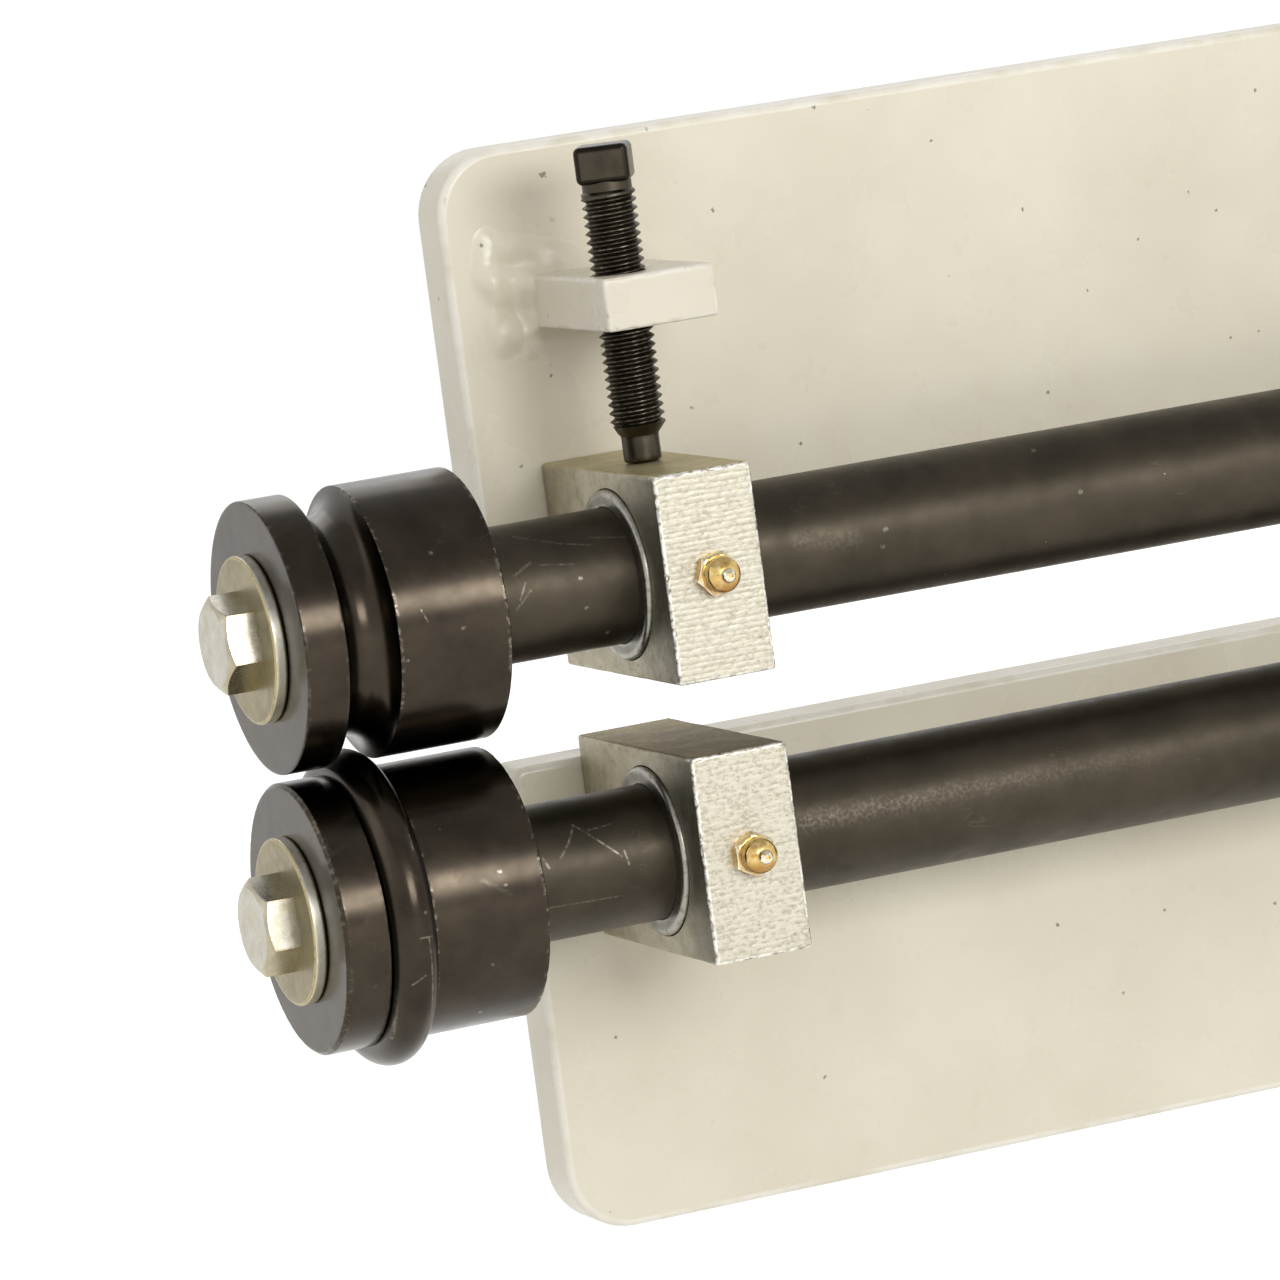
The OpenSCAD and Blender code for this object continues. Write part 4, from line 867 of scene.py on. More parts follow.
# Scratches and specks in the blackened parts, as (x, z, x, z, width, strength) in millimetres;
# the wide faint mark on the upper shaft is a painted highlight streak
shaftScratchesAndHighlight = [
    (-503.3, 105.3, -500.8, 107.8, 0.26, 0.6), (-500.8, 107.8, -498.1, 111.3, 0.26, 0.7),
    (-498.1, 111.3, -489.3, 103.2, 0.24, 0.75), (-488.6, 104.4, -488.0, 101.2, 0.26, 0.5),
    (-507.4, 105.8, -506.5, 103.7, 0.3, 0.7), (-507.2, 94.9, -489.2, 94.4, 0.22, 0.25),
    (-495.3, 109.8, -489.7, 110.1, 0.2, 0.4), (-498.6, 169.2, -491.0, 168.2, 0.22, 0.3),
    (-502.0, 175.7, -492.6, 172.8, 0.2, 0.22), (-492.6, 172.8, -485.3, 171.3, 0.2, 0.25),
    (-485.7, 173.0, -477.7, 171.8, 0.2, 0.25), (-505.2, 167.9, -500.8, 170.0, 0.35, 0.25),
    (-504.9, 162.7, -503.1, 166.0, 0.25, 0.35), (-506.0, 160.7, -502.1, 164.3, 0.25, 0.3),
    (-490.5, 165.0, -490.2, 165.0, 0.4, 0.8), (-489.8, 158.3, -489.5, 158.3, 0.4, 0.6),
    (-484.3, 151.7, -484.0, 151.7, 0.4, 0.8), (-417.6, 163.7, -417.2, 163.9, 0.5, 0.5),
    (-418.7, 160.2, -418.4, 160.2, 0.5, 0.5), (-369.5, 164.4, -369.2, 164.4, 0.5, 0.6),
    # painted highlight: the last mark, wide and faint, runs along the upper shaft
    (-376.8, 174.7, -376.5, 174.7, 0.5, 0.5), (-438.0, 165.0, -426.0, 163.0, 2.6, 0.1),
]
dieScratches = [
    (-542.9, 96.9, -542.2, 80.3, 0.22, 0.5), (-545.0, 97.3, -542.0, 97.2, 0.22, 0.6),
    (-549.6, 86.0, -549.1, 74.4, 0.25, 0.4), (-547.1, 87.2, -544.3, 88.9, 0.22, 0.5),
    (-542.1, 121.8, -542.6, 115.7, 0.25, 0.5), (-543.1, 102.6, -542.8, 102.6, 0.35, 0.9),
    (-524.2, 160.7, -523.9, 160.7, 0.4, 0.9), (-537.5, 155.8, -537.2, 155.8, 0.35, 0.7),
    (-527.9, 177.4, -527.6, 177.4, 0.4, 0.6), (-533.0, 166.1, -531.9, 163.4, 0.2, 0.45),
    (-523.3, 107.3, -523.0, 107.3, 0.4, 0.7), (-522.5, 104.3, -522.2, 104.3, 0.35, 0.7),
    (-527.6, 75.9, -527.3, 75.9, 0.35, 0.7), (-526.9, 87.3, -526.6, 87.3, 0.35, 0.5),
    (-527.5, 106.3, -521.7, 102.4, 0.6, 0.12),
]
dieOxideLook = {
    "tones": ("#37312A", "#443D34"), "side": ("#37312A", "#443D34"), "cloud": 14 * mm, "bare": "#A79F90",
    # the near black that negative wear paints on roundings is a painted dark reflection
    "scale": "#221E19", "worn": 0.6, "wornFrom": 0.5, "wornPatch": 1.5 * mm,
    "scuffs": 0.05, "scuffSpacing": 9 * mm, "scuffPatch": 22 * mm, "scuffWidth": 0.005,
    "dust": 0.7, "dustSpecks": (6 * mm, 0.25 * mm, 0.12),   # spacing, radius, amount
    "rough": (0.2, 0.27), "roughCloud": 5 * mm, "lines": (0.5 * mm, 0.005 * mm), "scratches": dieScratches,
}
shaftOxideLook = dict(
    dieOxideLook, tones=("#3F3A31", "#4B443A"), side=("#3F3A31", "#4B443A"), rough=(0.38, 0.48),
    lines=(0.8 * mm, 0.005 * mm), scuffs=0.06, scratches=shaftScratchesAndHighlight,
)
screwOxideLook = dict(
    # the screw's sides are painted a little darker than its face towards -Y, as painted shade
    dieOxideLook, tones=("#443F36", "#4E483E"), side=("#3E392F", "#4B453A"), rough=(0.28, 0.4),
    scuffs=0.04, worn=0.45, cloud=5 * mm, scratches=[],
)
# a painted highlight: a pale band along the lower shaft behind its front bearing
shaftHighlightBand = {"z": 103 * mm, "half": 3.5 * mm, "from": -447 * mm, "to": -340 * mm, "strength": 0.2,
             "patch": 0.9 * mm}


def paintedHighlightBand(tree, where, look):
    # painted highlight: a pale band along X at one height, fading out along the shaft
    place = addNode(tree, "SeparateXYZ", where).node.outputs
    off = addNode(tree, "Math", place["Z"], look["z"], operation="SUBTRACT")
    band = addNode(tree, "MapRange", addNode(tree, "Math", off, operation="ABSOLUTE"), look["half"], 0.0,
                   0.0, look["strength"])
    fading = addNode(tree, "MapRange", place["X"], look["to"], look["from"])
    behind = addNode(tree, "Math", place["X"], look["from"], operation="GREATER_THAN")
    for share in (fading, behind, mottle(tree, where, look["patch"], low=0.45, high=0.65)):
        band = addNode(tree, "Math", band, share, operation="MULTIPLY")
    return band


def blackOxide(name, look):
    # hot blackened turned steel with a film of oil: near black with a brown cast, satin, fine
    # turning lines round the axis, and bare metal where edges and scratches wear through; a pale
    # band along the lower shaft is a painted highlight, and roundings marked with negative wear
    # are painted near black as a painted dark reflection
    material, tree, shader = newFinish(name, Metallic=1.0)
    where = addNode(tree, "TexCoord", out="Object")
    facing = addNode(tree, "SeparateXYZ", addNode(tree, "TexCoord", out="Normal"), out="Y")
    # only on the screw do the side tones differ from the face towards -Y: its sides are painted darker, as
    # painted shade
    sides, front = [mottle(tree, where, look["cloud"], *look[part], detail=4.0) for part in ("side", "tones")]
    nearFace = addNode(tree, "MapRange", facing, -0.8, -0.93)
    base = addNode(tree, "Mix", nearFace, sides, front, data_type="RGBA")
    # painted dark reflection: negative wear marks roundings that are painted near black
    marked = addNode(tree, "Attribute", attribute_name="wear", out="Fac")
    shadedRoundings = addNode(tree, "MapRange", marked, 0.0, -0.6)
    base = addNode(tree, "Mix", shadedRoundings, base, look["scale"], data_type="RGBA")
    slanted = addNode(tree, "Mapping", where, Scale=(1, 1, 1.6))
    web = scratchWeb(tree, slanted, look["scuffSpacing"], look["scuffWidth"], look["scuffPatch"])
    marks = addNode(tree, "Math", web, look["scuffs"], operation="MULTIPLY")
    dust = addNode(tree, "Math", specks(tree, where, *look["dustSpecks"]), look["dust"], operation="MULTIPLY")
    worn = addNode(tree, "Math", wearMask(tree, where, look["wornPatch"], look["wornFrom"]), look["worn"],
                   operation="MULTIPLY")
    for more in (dust, worn, scribed(tree, where, look["scratches"]), paintedHighlightBand(tree, where, shaftHighlightBand)):
        marks = addNode(tree, "Math", marks, more, operation="MAXIMUM")
    base = addNode(tree, "Mix", marks, base, look["bare"], data_type="RGBA")
    wound = addNode(tree, "Mapping", where, Scale=(1, 0.02, 0.02))
    dress(tree, shader, Base_Color=base, Normal=relief(tree, wound, look["lines"]),
          Roughness=mottle(tree, where, look["roughCloud"], *look["rough"], low=0.3, high=0.7))
    return material


blackEnamelLook = {
    "tones": ("#1B1A19", "#262422"), "cloud": 20 * mm,
    "paleEdge": "#6B675F", "paleEdgeStrength": 0.5, "paleEdgePatch": 3 * mm,
    "sheen": (0.25, 0.4), "sheenCloud": 8 * mm, "runs": (2.5 * mm, 0.03 * mm),      # width, height
}


def blackEnamel(look):
    # brushed on black enamel over a flame cut arm: glossy with soft runs, grey at rubbed edges
    material, tree, shader = newFinish("black enamel", Specular_IOR_Level=0.5)
    where = addNode(tree, "TexCoord", out="Object")
    paleEdge = addNode(tree, "Math", wearMask(tree, where, look["paleEdgePatch"], 0.5), look["paleEdgeStrength"],
                     operation="MULTIPLY")
    base = mottle(tree, where, look["cloud"], *look["tones"])
    base = addNode(tree, "Mix", paleEdge, base, look["paleEdge"], data_type="RGBA")
    dress(tree, shader, Base_Color=base, Normal=relief(tree, where, look["runs"]),
          Roughness=mottle(tree, where, look["sheenCloud"], *look["sheen"]))
    return material


plasticLook = {
    "tones": ("#161616", "#202020"), "cloud": 12 * mm, "sheen": (0.42, 0.58), "sheenCloud": 6 * mm,
    "grain": (0.6 * mm, 0.02 * mm),                         # width, height
}


def blackPlastic(look):
    # moulded grip: fine spark eroded grain, duller where the hand rubs it
    material, tree, shader = newFinish("moulded black plastic", Specular_IOR_Level=0.5)
    where = addNode(tree, "TexCoord", out="Object")
    dress(tree, shader, Base_Color=mottle(tree, where, look["cloud"], *look["tones"]),
          Normal=relief(tree, where, look["grain"]),
          Roughness=mottle(tree, where, look["sheenCloud"], *look["sheen"]))
    return material


finishes = {
    "cream_enamel": creamEnamel("cream enamel", enamelLook),
    "lug_enamel": creamEnamel("chipped cream enamel", lugEnamelLook),
    "sawn_steel": sawnSteel(sawnLook),
    "bush_steel": plainMetal("turned bush steel", bushMetalLook),
    "die_oxide": blackOxide("black oxide dies", dieOxideLook),
    "shaft_oxide": blackOxide("black oxide shafts", shaftOxideLook),
    "screw_oxide": blackOxide("black oxide screw", screwOxideLook),
    "zinc_plate": plainMetal("zinc plated steel", zincLook),
    "washer_zinc": plainMetal("zinc plated washer face", washerMetalLook),
    "washer_rim": plainMetal("zinc plated washer rim", rimHighlightLook),
    "brass": plainMetal("turned brass", brassLook),
    "machined_steel": plainMetal("machined steel", machinedLook),
    "black_enamel": blackEnamel(blackEnamelLook),
    "black_plastic": blackPlastic(plasticLook),
}
print("finishes built:", len(finishes))

# Frame: plate, foot, gussets, lug and welds

plateLook = {
    "corner": 15 * mm, "edge": 1.9 * mm, "mouth": 3 * mm,  # outer corners, edges, corners of the mouth
    "slotLow": 118.5 * mm, "slotHigh": 144.5 * mm, "slotEnd": -87.7 * mm, "slotEnds": 13 * mm,
    "guideClearance": 0.4 * mm, "guideDown": 1.6 * mm, "guideUp": 5.6 * mm, "pivotHole": 7.05 * mm,
    "boltHole": 4.5 * mm, "washerRadius": 8 * mm, "reach": 5 * mm,
}


def framePlate(look):
    low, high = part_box("frame_plate")
    big, mouth, ends = look["corner"], look["mouth"], look["slotEnds"]
    corners = [
        (low.z, low.x, big), (low.z, high.x, big), (high.z, high.x, big), (high.z, low.x, big),
        (look["slotHigh"], low.x, mouth), (look["slotHigh"], look["slotEnd"], ends),
        (look["slotLow"], look["slotEnd"], ends), (look["slotLow"], low.x, mouth),
    ]
    plate = slab("framePlate", softened(corners, 0, 10), "y", low.y, high.y, look["edge"])
    start, end = low.y - look["reach"], high.y + look["reach"]
    guide, pivot = middle("guide_stud"), middle("pivot_bolt")
    guideR = size("guide_stud").x / 2 + look["guideClearance"]
    bottom, top = guide.z - look["guideDown"] - guideR, guide.z + look["guideUp"] + guideR
    slot = [(bottom, guide.x - guideR), (bottom, guide.x + guideR), (top, guide.x + guideR),
            (top, guide.x - guideR)]
    cutters = [slab("guideSlot", softened(slot, guideR, 8), "y", start, end, 0)]
    cutters.append(rod("pivotBore", look["pivotHole"], start, end, Vector((pivot.x, 0, pivot.z)), "y"))
    boltLow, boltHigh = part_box("lower_block_washers")
    inset = look["washerRadius"]
    for x in (boltLow.x + inset, boltHigh.x - inset):
        for z in (boltLow.z + inset, boltHigh.z - inset):
            cutters.append(rod("boltHole", look["boltHole"], start, end, Vector((x, 0, z)), "y", 32))
    cutBy(plate, *cutters)
    finishPiece(plate, "cream_enamel", "frame", "frame_plate")


footLook = {"corner": 12 * mm, "edge": 1.2 * mm, "holeRadius": 5.5 * mm, "holeX": 75 * mm, "holeY": 45 * mm,
            "gussetEdge": 0.8 * mm, "reach": 5 * mm}


def mountingFoot(look):
    low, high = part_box("mounting_foot")
    corners = [(low.y, low.x), (high.y, low.x), (high.y, high.x), (low.y, high.x)]
    foot = slab("mountingFoot", softened(corners, look["corner"], 8), "z", low.z, high.z, look["edge"], 4)
    holes = [rod("benchHole", look["holeRadius"], low.z - look["reach"], high.z + look["reach"],
                 Vector((sx * look["holeX"], sy * look["holeY"], 0)), "z", 48)
             for sx in (-1, 1) for sy in (-1, 1)]
    cutBy(foot, *holes)
    finishPiece(foot, "cream_enamel", "frame", "mounting_foot")
    gussets = bevelled(cadCopy("footGussets", "foot_gussets"), look["gussetEdge"])
    finishPiece(gussets, "cream_enamel", "frame", "foot_gussets")


lugLook = {"edge": 1.0 * mm, "grid": 0.7 * mm, "hole": 6.2 * mm, "reach": 5 * mm,
           "chips": 0.4 * mm, "chipSize": 3.5 * mm, "seed": 3.0}


def adjusterLug(look):
    low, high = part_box("adjuster_lug")
    lug = roundedBox("adjusterLug", low, high, look["edge"], [look["grid"]] * 3)
    screw = middle("adjusting_screw")
    grow(lug, sawnFaces, "lug_enamel", Chips=look["chips"], ChipSize=look["chipSize"], Seed=look["seed"])
    cutBy(lug, rod("lugHole", look["hole"], low.z - look["reach"], high.z + look["reach"],
                   Vector((screw.x, screw.y, 0)), "z"))
    finishPiece(lug, "lug_enamel", "frame", "adjuster_lug")


weldLook = {
    "fillet": 4.6 * mm, "rise": 2.4 * mm, "margin": 20 * mm, "step": 0.45 * mm, "sink": 0.06 * mm,
    "back": 1.0 * mm, "lumps": 0.35, "lumpSize": 5 * mm,
    # laps and tacks beside the lug, as (x, z, x, z, half width, height) in millimetres
    "tacks": [
        (-481.0, 236.0, -482.6, 229.0, 4.6, 1.3), (-482.6, 227.5, -480.8, 214.0, 5.0, 1.1),
        (-480.5, 226.5, -474.0, 225.0, 5.5, 1.6), (-478.0, 216.0, -474.5, 212.0, 4.0, 0.9),
        (-476.0, 234.0, -462.0, 230.0, 4.4, 1.1), (-449.5, 229.8, -444.0, 226.5, 4.4, 1.2),
        (-465.1, 239.5, -465.1, 239.5, 1.1, 0.5), (-470.5, 207.5, -470.5, 207.5, 1.0, 0.45),
    ],
    "foot": {"HalfWidth": 3.0 * mm, "Ripple": 2.6 * mm, "RippleDepth": 0.03, "Lumps": 0.3,
             "LumpSize": 8 * mm, "Step": 0.5 * mm},
    "footSeed": 21.0, "footEnds": 6 * mm, "gussetHalf": 4 * mm,
}


def weldRise(x, z, low, high, look):
    # how high the painted weld stands over the plate at one place
    away = math.hypot(max(low.x - x, x - high.x, 0), max(low.z - z, z - high.z, 0))
    rise = look["rise"] * max(0, 1 - away / look["fillet"]) ** 2
    here = Vector((x, 0, z))
    for ax, az, bx, bz, half, height in look["tacks"]:
        start, end = Vector((ax, 0, az)) * mm, Vector((bx, 0, bz)) * mm
        run = end - start
        share = min(max((here - start).dot(run) / run.length_squared, 0), 1) if run.length else 0
        gap = (here - start - run * share).length / (half * mm)
        rise += height * mm * max(0, 1 - gap * gap) ** 2
    return rise * (1 + look["lumps"] * noise.noise(here / look["lumpSize"]))


def lugWeld(look):
    # a sheet just inside the plate that swells round the lug, closed at the back
    low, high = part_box("adjuster_lug")
    face, margin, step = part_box("frame_plate")[0].y, look["margin"], look["step"]
    bm = bmesh.new()
    bm.verts.layers.float.new("wear")
    left = max(low.x - margin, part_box("frame_plate")[0].x + plateLook["edge"])
    columns = int((high.x + margin - left) / step)
    rows = int((high.z - low.z + 2 * margin) / step)
    grid = []
    for i in range(columns + 1):
        x = left + i * step
        line = []
        for k in range(rows + 1):
            z = low.z - margin + k * step
            line.append(bm.verts.new((x, face + look["sink"] - weldRise(x, z, low, high, look), z)))
        grid.append(line)
    for i in range(columns):
        for k in range(rows):
            bm.faces.new((grid[i][k], grid[i + 1][k], grid[i + 1][k + 1], grid[i][k + 1]))
    back = bmesh.ops.extrude_face_region(bm, geom=bm.faces[:])
    for part in back["geom"]:
        if isinstance(part, bmesh.types.BMVert):
            part.co.y = face + look["back"]
    bmesh.ops.recalc_face_normals(bm, faces=bm.faces)
    return fromBmesh("lugWeld", bm)


def frameWelds(look):
    # the lug's weld, and beads along the plate and the gussets where they stand on the foot
    plateHigh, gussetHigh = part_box("frame_plate")[1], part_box("foot_gussets")[1]
    footLow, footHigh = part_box("mounting_foot")
    half, ends, top = look["gussetHalf"], look["footEnds"], footHigh.z
    gussetX, reach = gussetHigh.x - half, gussetHigh.y
    beads = [lugWeld(look)]
    runs = []
    for side in (-1, 1):
        y = plateHigh.y * side
        stops = [footLow.x + ends, -gussetX - half, -gussetX + half, gussetX - half, gussetX + half,
                 plateHigh.x - ends]
        runs += [[(a, y, top), (b, y, top)] for a, b in zip(stops[::2], stops[1::2])]
        runs += [[(x, y + side * half, top), (x, side * (reach - half), top)]
                 for x in [sx * gussetX + edge for sx in (-1, 1) for edge in (-half, half)]]
    for i, run in enumerate(runs):
        beads.append(grow(pathPiece("footBead", run), weldBeads, "cream_enamel", Seed=look["footSeed"] + i,
                          **look["foot"]))
    finishPiece(join("frameWelds", beads), "cream_enamel", "frame", "frame_welds", sharp=80)


# Adjusting screw: square head, neck, thread, cone and dog point

screwLook = {
    "radius": 6.1 * mm, "pitch": 1.9 * mm, "depth": 1.05 * mm, "fade": 1.2 * mm, "ringsPerPitch": 14,
    "dogRadius": 4.2 * mm, "dogLength": 6 * mm, "dogEdge": 0.8 * mm, "cone": 2.3 * mm,
    "neckRadius": 5.5 * mm, "neck": 2.4 * mm, "headShade": -0.5,
    "head": 12 * mm, "headHeight": 8.4 * mm, "headEdge": 1.4 * mm, "headTurn": -28, "grid": 1.2 * mm,
}


def adjustingScrew(look):
    low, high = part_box("adjusting_screw")
    foot = Vector(((low.x + high.x) / 2, (low.y + high.y) / 2, low.z))
    headStart = high.z - low.z - look["headHeight"]
    start, end, r = look["dogLength"] + look["cone"], headStart - look["neck"], look["radius"]
    dog = [(0, 0), (0, look["dogRadius"]), (look["dogLength"], look["dogRadius"]), (start, r)]
    profile = [(0, 0, 0)] + softened(dog, look["dogEdge"], 3, closed=False)[1:-1]
    rings = round((end - start) / look["pitch"] * look["ringsPerPitch"])
    profile += [(start + (end - start) * k / rings, r, 0) for k in range(rings + 1)]
    neck, neckEnd = look["neckRadius"], headStart + look["headEdge"]
    profile += [(end + look["fade"] / 2, neck, 0), (neckEnd, neck, 0), (neckEnd, 0, 0)]
    shank = turned("screwShank", profile, foot, "z", 72)
    grow(shank, threads, "screw_oxide", Pitch=look["pitch"], Depth=look["depth"], Fade=look["fade"],
         Start=start - look["fade"] / 2, End=end, Radius=r, Centre=foot)
    half = look["head"] / 2
    headLow = Vector((-half, -half, headStart))
    headHigh = Vector((half, half, headStart + look["headHeight"]))
    head = roundedBox("screwHead", headLow, headHigh, look["headEdge"], [look["grid"]] * 3)
    head.data.transform(Matrix.Translation(foot) @ Matrix.Rotation(math.radians(look["headTurn"]), 4, "Z"))
    # painted dark reflection: the head's rounded edges get negative wear, which paints them near black
    for mark in head.data.attributes["wear"].data:
        mark.value *= look["headShade"]
    screw = join("adjustingScrew", [shank, head])
    finishPiece(screw, "screw_oxide", "adjusting_screw", "adjusting_screw")


# Bearing blocks, bushes and grease nipples

bearingBodies = {"upper": "upper_bearings", "lower": "frame"}
blockLook = {
    "edge": 0.8 * mm, "grid": (0.5 * mm, 4.5 * mm, 0.25 * mm), "reach": 5 * mm, "seatGap": 0.25 * mm,
    "depth": {"upper": 0.1 * mm, "lower": 0.07 * mm}, "chips": 0.4 * mm, "chipSize": 1.8 * mm,
}


def bearingBlock(row, end, seed, look):
    node = f"{row}_{end}_block"
    low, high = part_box(node)
    block = roundedBox(f"{row}{end.capitalize()}Block", low, high, look["edge"], look["grid"])
    grow(block, sawnFaces, "sawn_steel", Pitch=sawnLook["pitch"], Depth=look["depth"][row],
         Lines=sawnLook["lines"][row], Chips=look["chips"], ChipSize=look["chipSize"], Seed=seed)
    bushLow, bushHigh, line = alongX(f"{row}_{end}_bush")
    seat = (bushHigh - bushLow).z / 2 + look["seatGap"]
    cutBy(block, rod("bushSeat", seat, low.x - look["reach"], high.x + look["reach"], line, "x", 96))
    finishPiece(block, "sawn_steel", bearingBodies[row], node)


bushLook = {"edge": 1.1 * mm, "bore": 0.2 * mm, "inner": 15.25 * mm, "proud": 0.6 * mm}


def shaftBush(row, end, look):
    # the front bushes stand a little further out of their blocks towards the dies
    node = f"{row}_{end}_bush"
    low, high, line = alongX(node)
    start = low.x - (look["proud"] if end == "front" else 0)
    corners = ringPath(start, high.x, look["inner"], (high.z - low.z) / 2, look["bore"])
    bush = turned(f"{row}{end.capitalize()}Bush", softened(corners, look["edge"], 5), line, wrap=True)
    finishPiece(bush, "bush_steel", bearingBodies[row], node)


nippleLook = {
    "hex": {"sides": 6, "across": 9 * mm, "corner": 0.35 * mm, "height": 2.5 * mm, "crownShare": 0.92,
            "crownAngle": 32, "soften": 0.15 * mm, "cuts": 6},
    "turn": {"upper": 79.0, "lower": 60.0}, "threadRadius": 3 * mm,
    # the turned body from the hexagon out, as (distance, radius)
    "stem": [(2.3, 4.05), (4.9, 3.95), (5.6, 3.7), (6.1, 3.2), (6.5, 2.5), (6.8, 1.8), (6.9, 1.45)],
    "ball": 1.65 * mm, "ballAt": 7.6 * mm, "dimple": 0.55 * mm, "dimpleDepth": 0.4 * mm,
}


def greaseNipple(row, end, look):
    node = f"{row}_{end}_grease_nipple"
    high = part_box(node)[1]
    axis = middle(node)
    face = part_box(f"{row}_{end}_block")[0].y
    origin = Vector((axis.x, face, axis.z))
    base = flatsHead("nippleHex", dict(look["hex"], turn=look["turn"][row]), origin, "y", facing=-1)
    ball, at = look["ball"], look["ballAt"]
    stem = [(face - high.y, 0, 0), (face - high.y, look["threadRadius"], 0), (0, look["threadRadius"], 0)]
    stem += [(a * mm, r * mm, 0) for a, r in look["stem"]]
    start = math.degrees(math.asin(look["stem"][-1][1] * mm / ball))
    stop = math.degrees(math.asin(look["dimple"] / ball))
    # the ball is marked worn all over and painted near white: partly worn brass, partly a painted highlight
    stem += [(*point[:2], 1) for point in arc(at, 0, ball, 180 - start, stop, 16)]
    rim = at + ball * math.cos(math.radians(stop))
    stem += [(rim - look["dimpleDepth"], look["dimple"], 0), (rim - look["dimpleDepth"], 0, 0)]
    tip = turned("nippleStem", [(-a, r, worn) for a, r, worn in stem], origin, "y", 48)
    nipple = join(f"{row}{end.capitalize()}GreaseNipple", [base, tip])
    finishPiece(nipple, "brass", bearingBodies[row], node)


# Shafts and dies

shaftLook = {"edge": 1.0 * mm, "seatEdge": 0.5 * mm, "seat": 11 * mm, "shoulder": -513.2 * mm,
             "tail": 12.5 * mm}


def drivenShaft(row, look):
    node = f"{row}_shaft"
    low, high, line = alongX(node)
    r = (high.z - low.z) / 2
    corners = [(low.x, 0), (low.x, look["seat"], look["seatEdge"]), (look["shoulder"], look["seat"], 0),
               (look["shoulder"], r)]
    if row == "upper":
        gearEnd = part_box("upper_gear")[1].x
        corners += [(gearEnd, r, 0), (gearEnd, look["tail"], 0), (high.x, look["tail"]), (high.x, 0)]
    else:
        corners += [(high.x, r), (high.x, 0)]
    shaft = turned(f"{row}Shaft", softened(corners, look["edge"], 4, closed=False), line, segments=128)
    finishPiece(shaft, "shaft_oxide", node, node)


dieLook = {
    "seat": 11 * mm, "radius": 30 * mm, "bead": 15.5 * mm, "grooveRadius": 5.9 * mm, "ringRadius": 5.0 * mm,
    "edge": 0.4 * mm, "boreEdge": 0.3 * mm, "lead": 0.8 * mm, "frontWear": 0.35, "lip": 0.25 * mm,
    "relief": 0.45 * mm, "segments": 320, "chips": {"upper": 0.0, "lower": 0.2 * mm},
    "chipSize": 1.6 * mm, "seed": 9.0,
}


def beadDie(row, look):
    node = f"{row}_die"
    low, high, line = alongX(node)
    r, bead = look["radius"], low.x + look["bead"]
    bore, lead, small = (low.x, look["seat"], look["boreEdge"]), look["lead"], look["boreEdge"]
    if row == "upper":
        groove = arc(bead, r, look["grooveRadius"], 180, 360, 28)
        groove[0], groove[-1] = (*groove[0][:2], look["lip"]), (*groove[-1][:2], look["lip"])
        path = [bore, (low.x, r, look["edge"])] + groove
    else:
        # a chamfered front edge, and a small turned relief in front of the ring
        cut = look["relief"]
        ring = arc(bead, r, look["ringRadius"], 186, 0, 28)
        path = [bore, (low.x, r - lead, small), (low.x + lead, r, small),
                (ring[0][0] - 0.9 * cut, r, 0.4 * small), (ring[0][0] - 0.1 * cut, r - cut, 0)]
        path += ring[1:-1] + [(ring[-1][0], r, small)]
    path += [(high.x, r, look["edge"]), (high.x, look["seat"], look["boreEdge"])]
    # the front flange has kept more of its scale than the edges that roll the sheet
    profile = [(a, b, worn * (look["frontWear"] if a < bead else 1.0))
               for a, b, worn in softened(path, look["edge"], 4)]
    die = turned(f"{row}Die", profile, line, segments=look["segments"], wrap=True)
    grow(die, sawnFaces, "die_oxide", Chips=look["chips"][row], ChipSize=look["chipSize"], Seed=look["seed"])
    finishPiece(die, "die_oxide", f"{row}_shaft", node, sharp=30)


washerLook = {"edge": 0.55 * mm, "boreEdge": 0.2 * mm, "guard": 0.3 * mm}


def plainWasher(name, node, outer, inner, axis, body, look):
    low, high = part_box(node)
    centre = middle(node)
    along = "xyz".index(axis)
    start, end = low[along], high[along]
    origin = Vector([0 if i == along else centre[i] for i in range(3)])
    corners = ringPath(start, end, inner, outer, look["boreEdge"])
    washer = turned(name, softened(corners, look["edge"], 3, guard=look["guard"]), origin, axis, wrap=True)
    finishPiece(washer, "washer_zinc", body, node)
    # painted highlight: the rim's faces, further from the axis than the flat ones, get a brighter copy of the
    # plating
    washer.data.materials.append(finishes["washer_rim"])
    for polygon in washer.data.polygons:
        away = polygon.center - centre
        away[along] = 0
        if away.length > outer - look["edge"] / 3:
            polygon.material_index = 1


hexLook = {"sides": 6, "across": 19 * mm, "corner": 0.2 * mm, "turn": 10.0, "height": 7.5 * mm,
           "crownShare": 0.94, "crownAngle": 30, "soften": 0.25 * mm, "cuts": 8}
dieBoltLook = {"radius": 6 * mm, "washer": 18.5 * mm, "turn": {"upper": 10.0, "lower": 7.0}}


def dieFasteners(row, look):
    body, node = f"{row}_shaft", f"{row}_die_bolt"
    plainWasher(f"{row}DieWasher", f"{row}_die_washer", look["washer"], look["radius"], "x", body, washerLook)
    high, line = alongX(node)[1:]
    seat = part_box(f"{row}_die_washer")[0].x
    origin = line + Vector((seat, 0, 0))
    head = flatsHead("boltHead", dict(hexLook, turn=look["turn"][row]), origin, "x", facing=-1)
    bolt = join(f"{row}DieBolt", [head, rod("boltShank", look["radius"], 0, high.x - seat, origin, "x", 48)])
    finishPiece(bolt, "zinc_plate", body, node, sharp=25)


# Gears, collars, keys and set screws

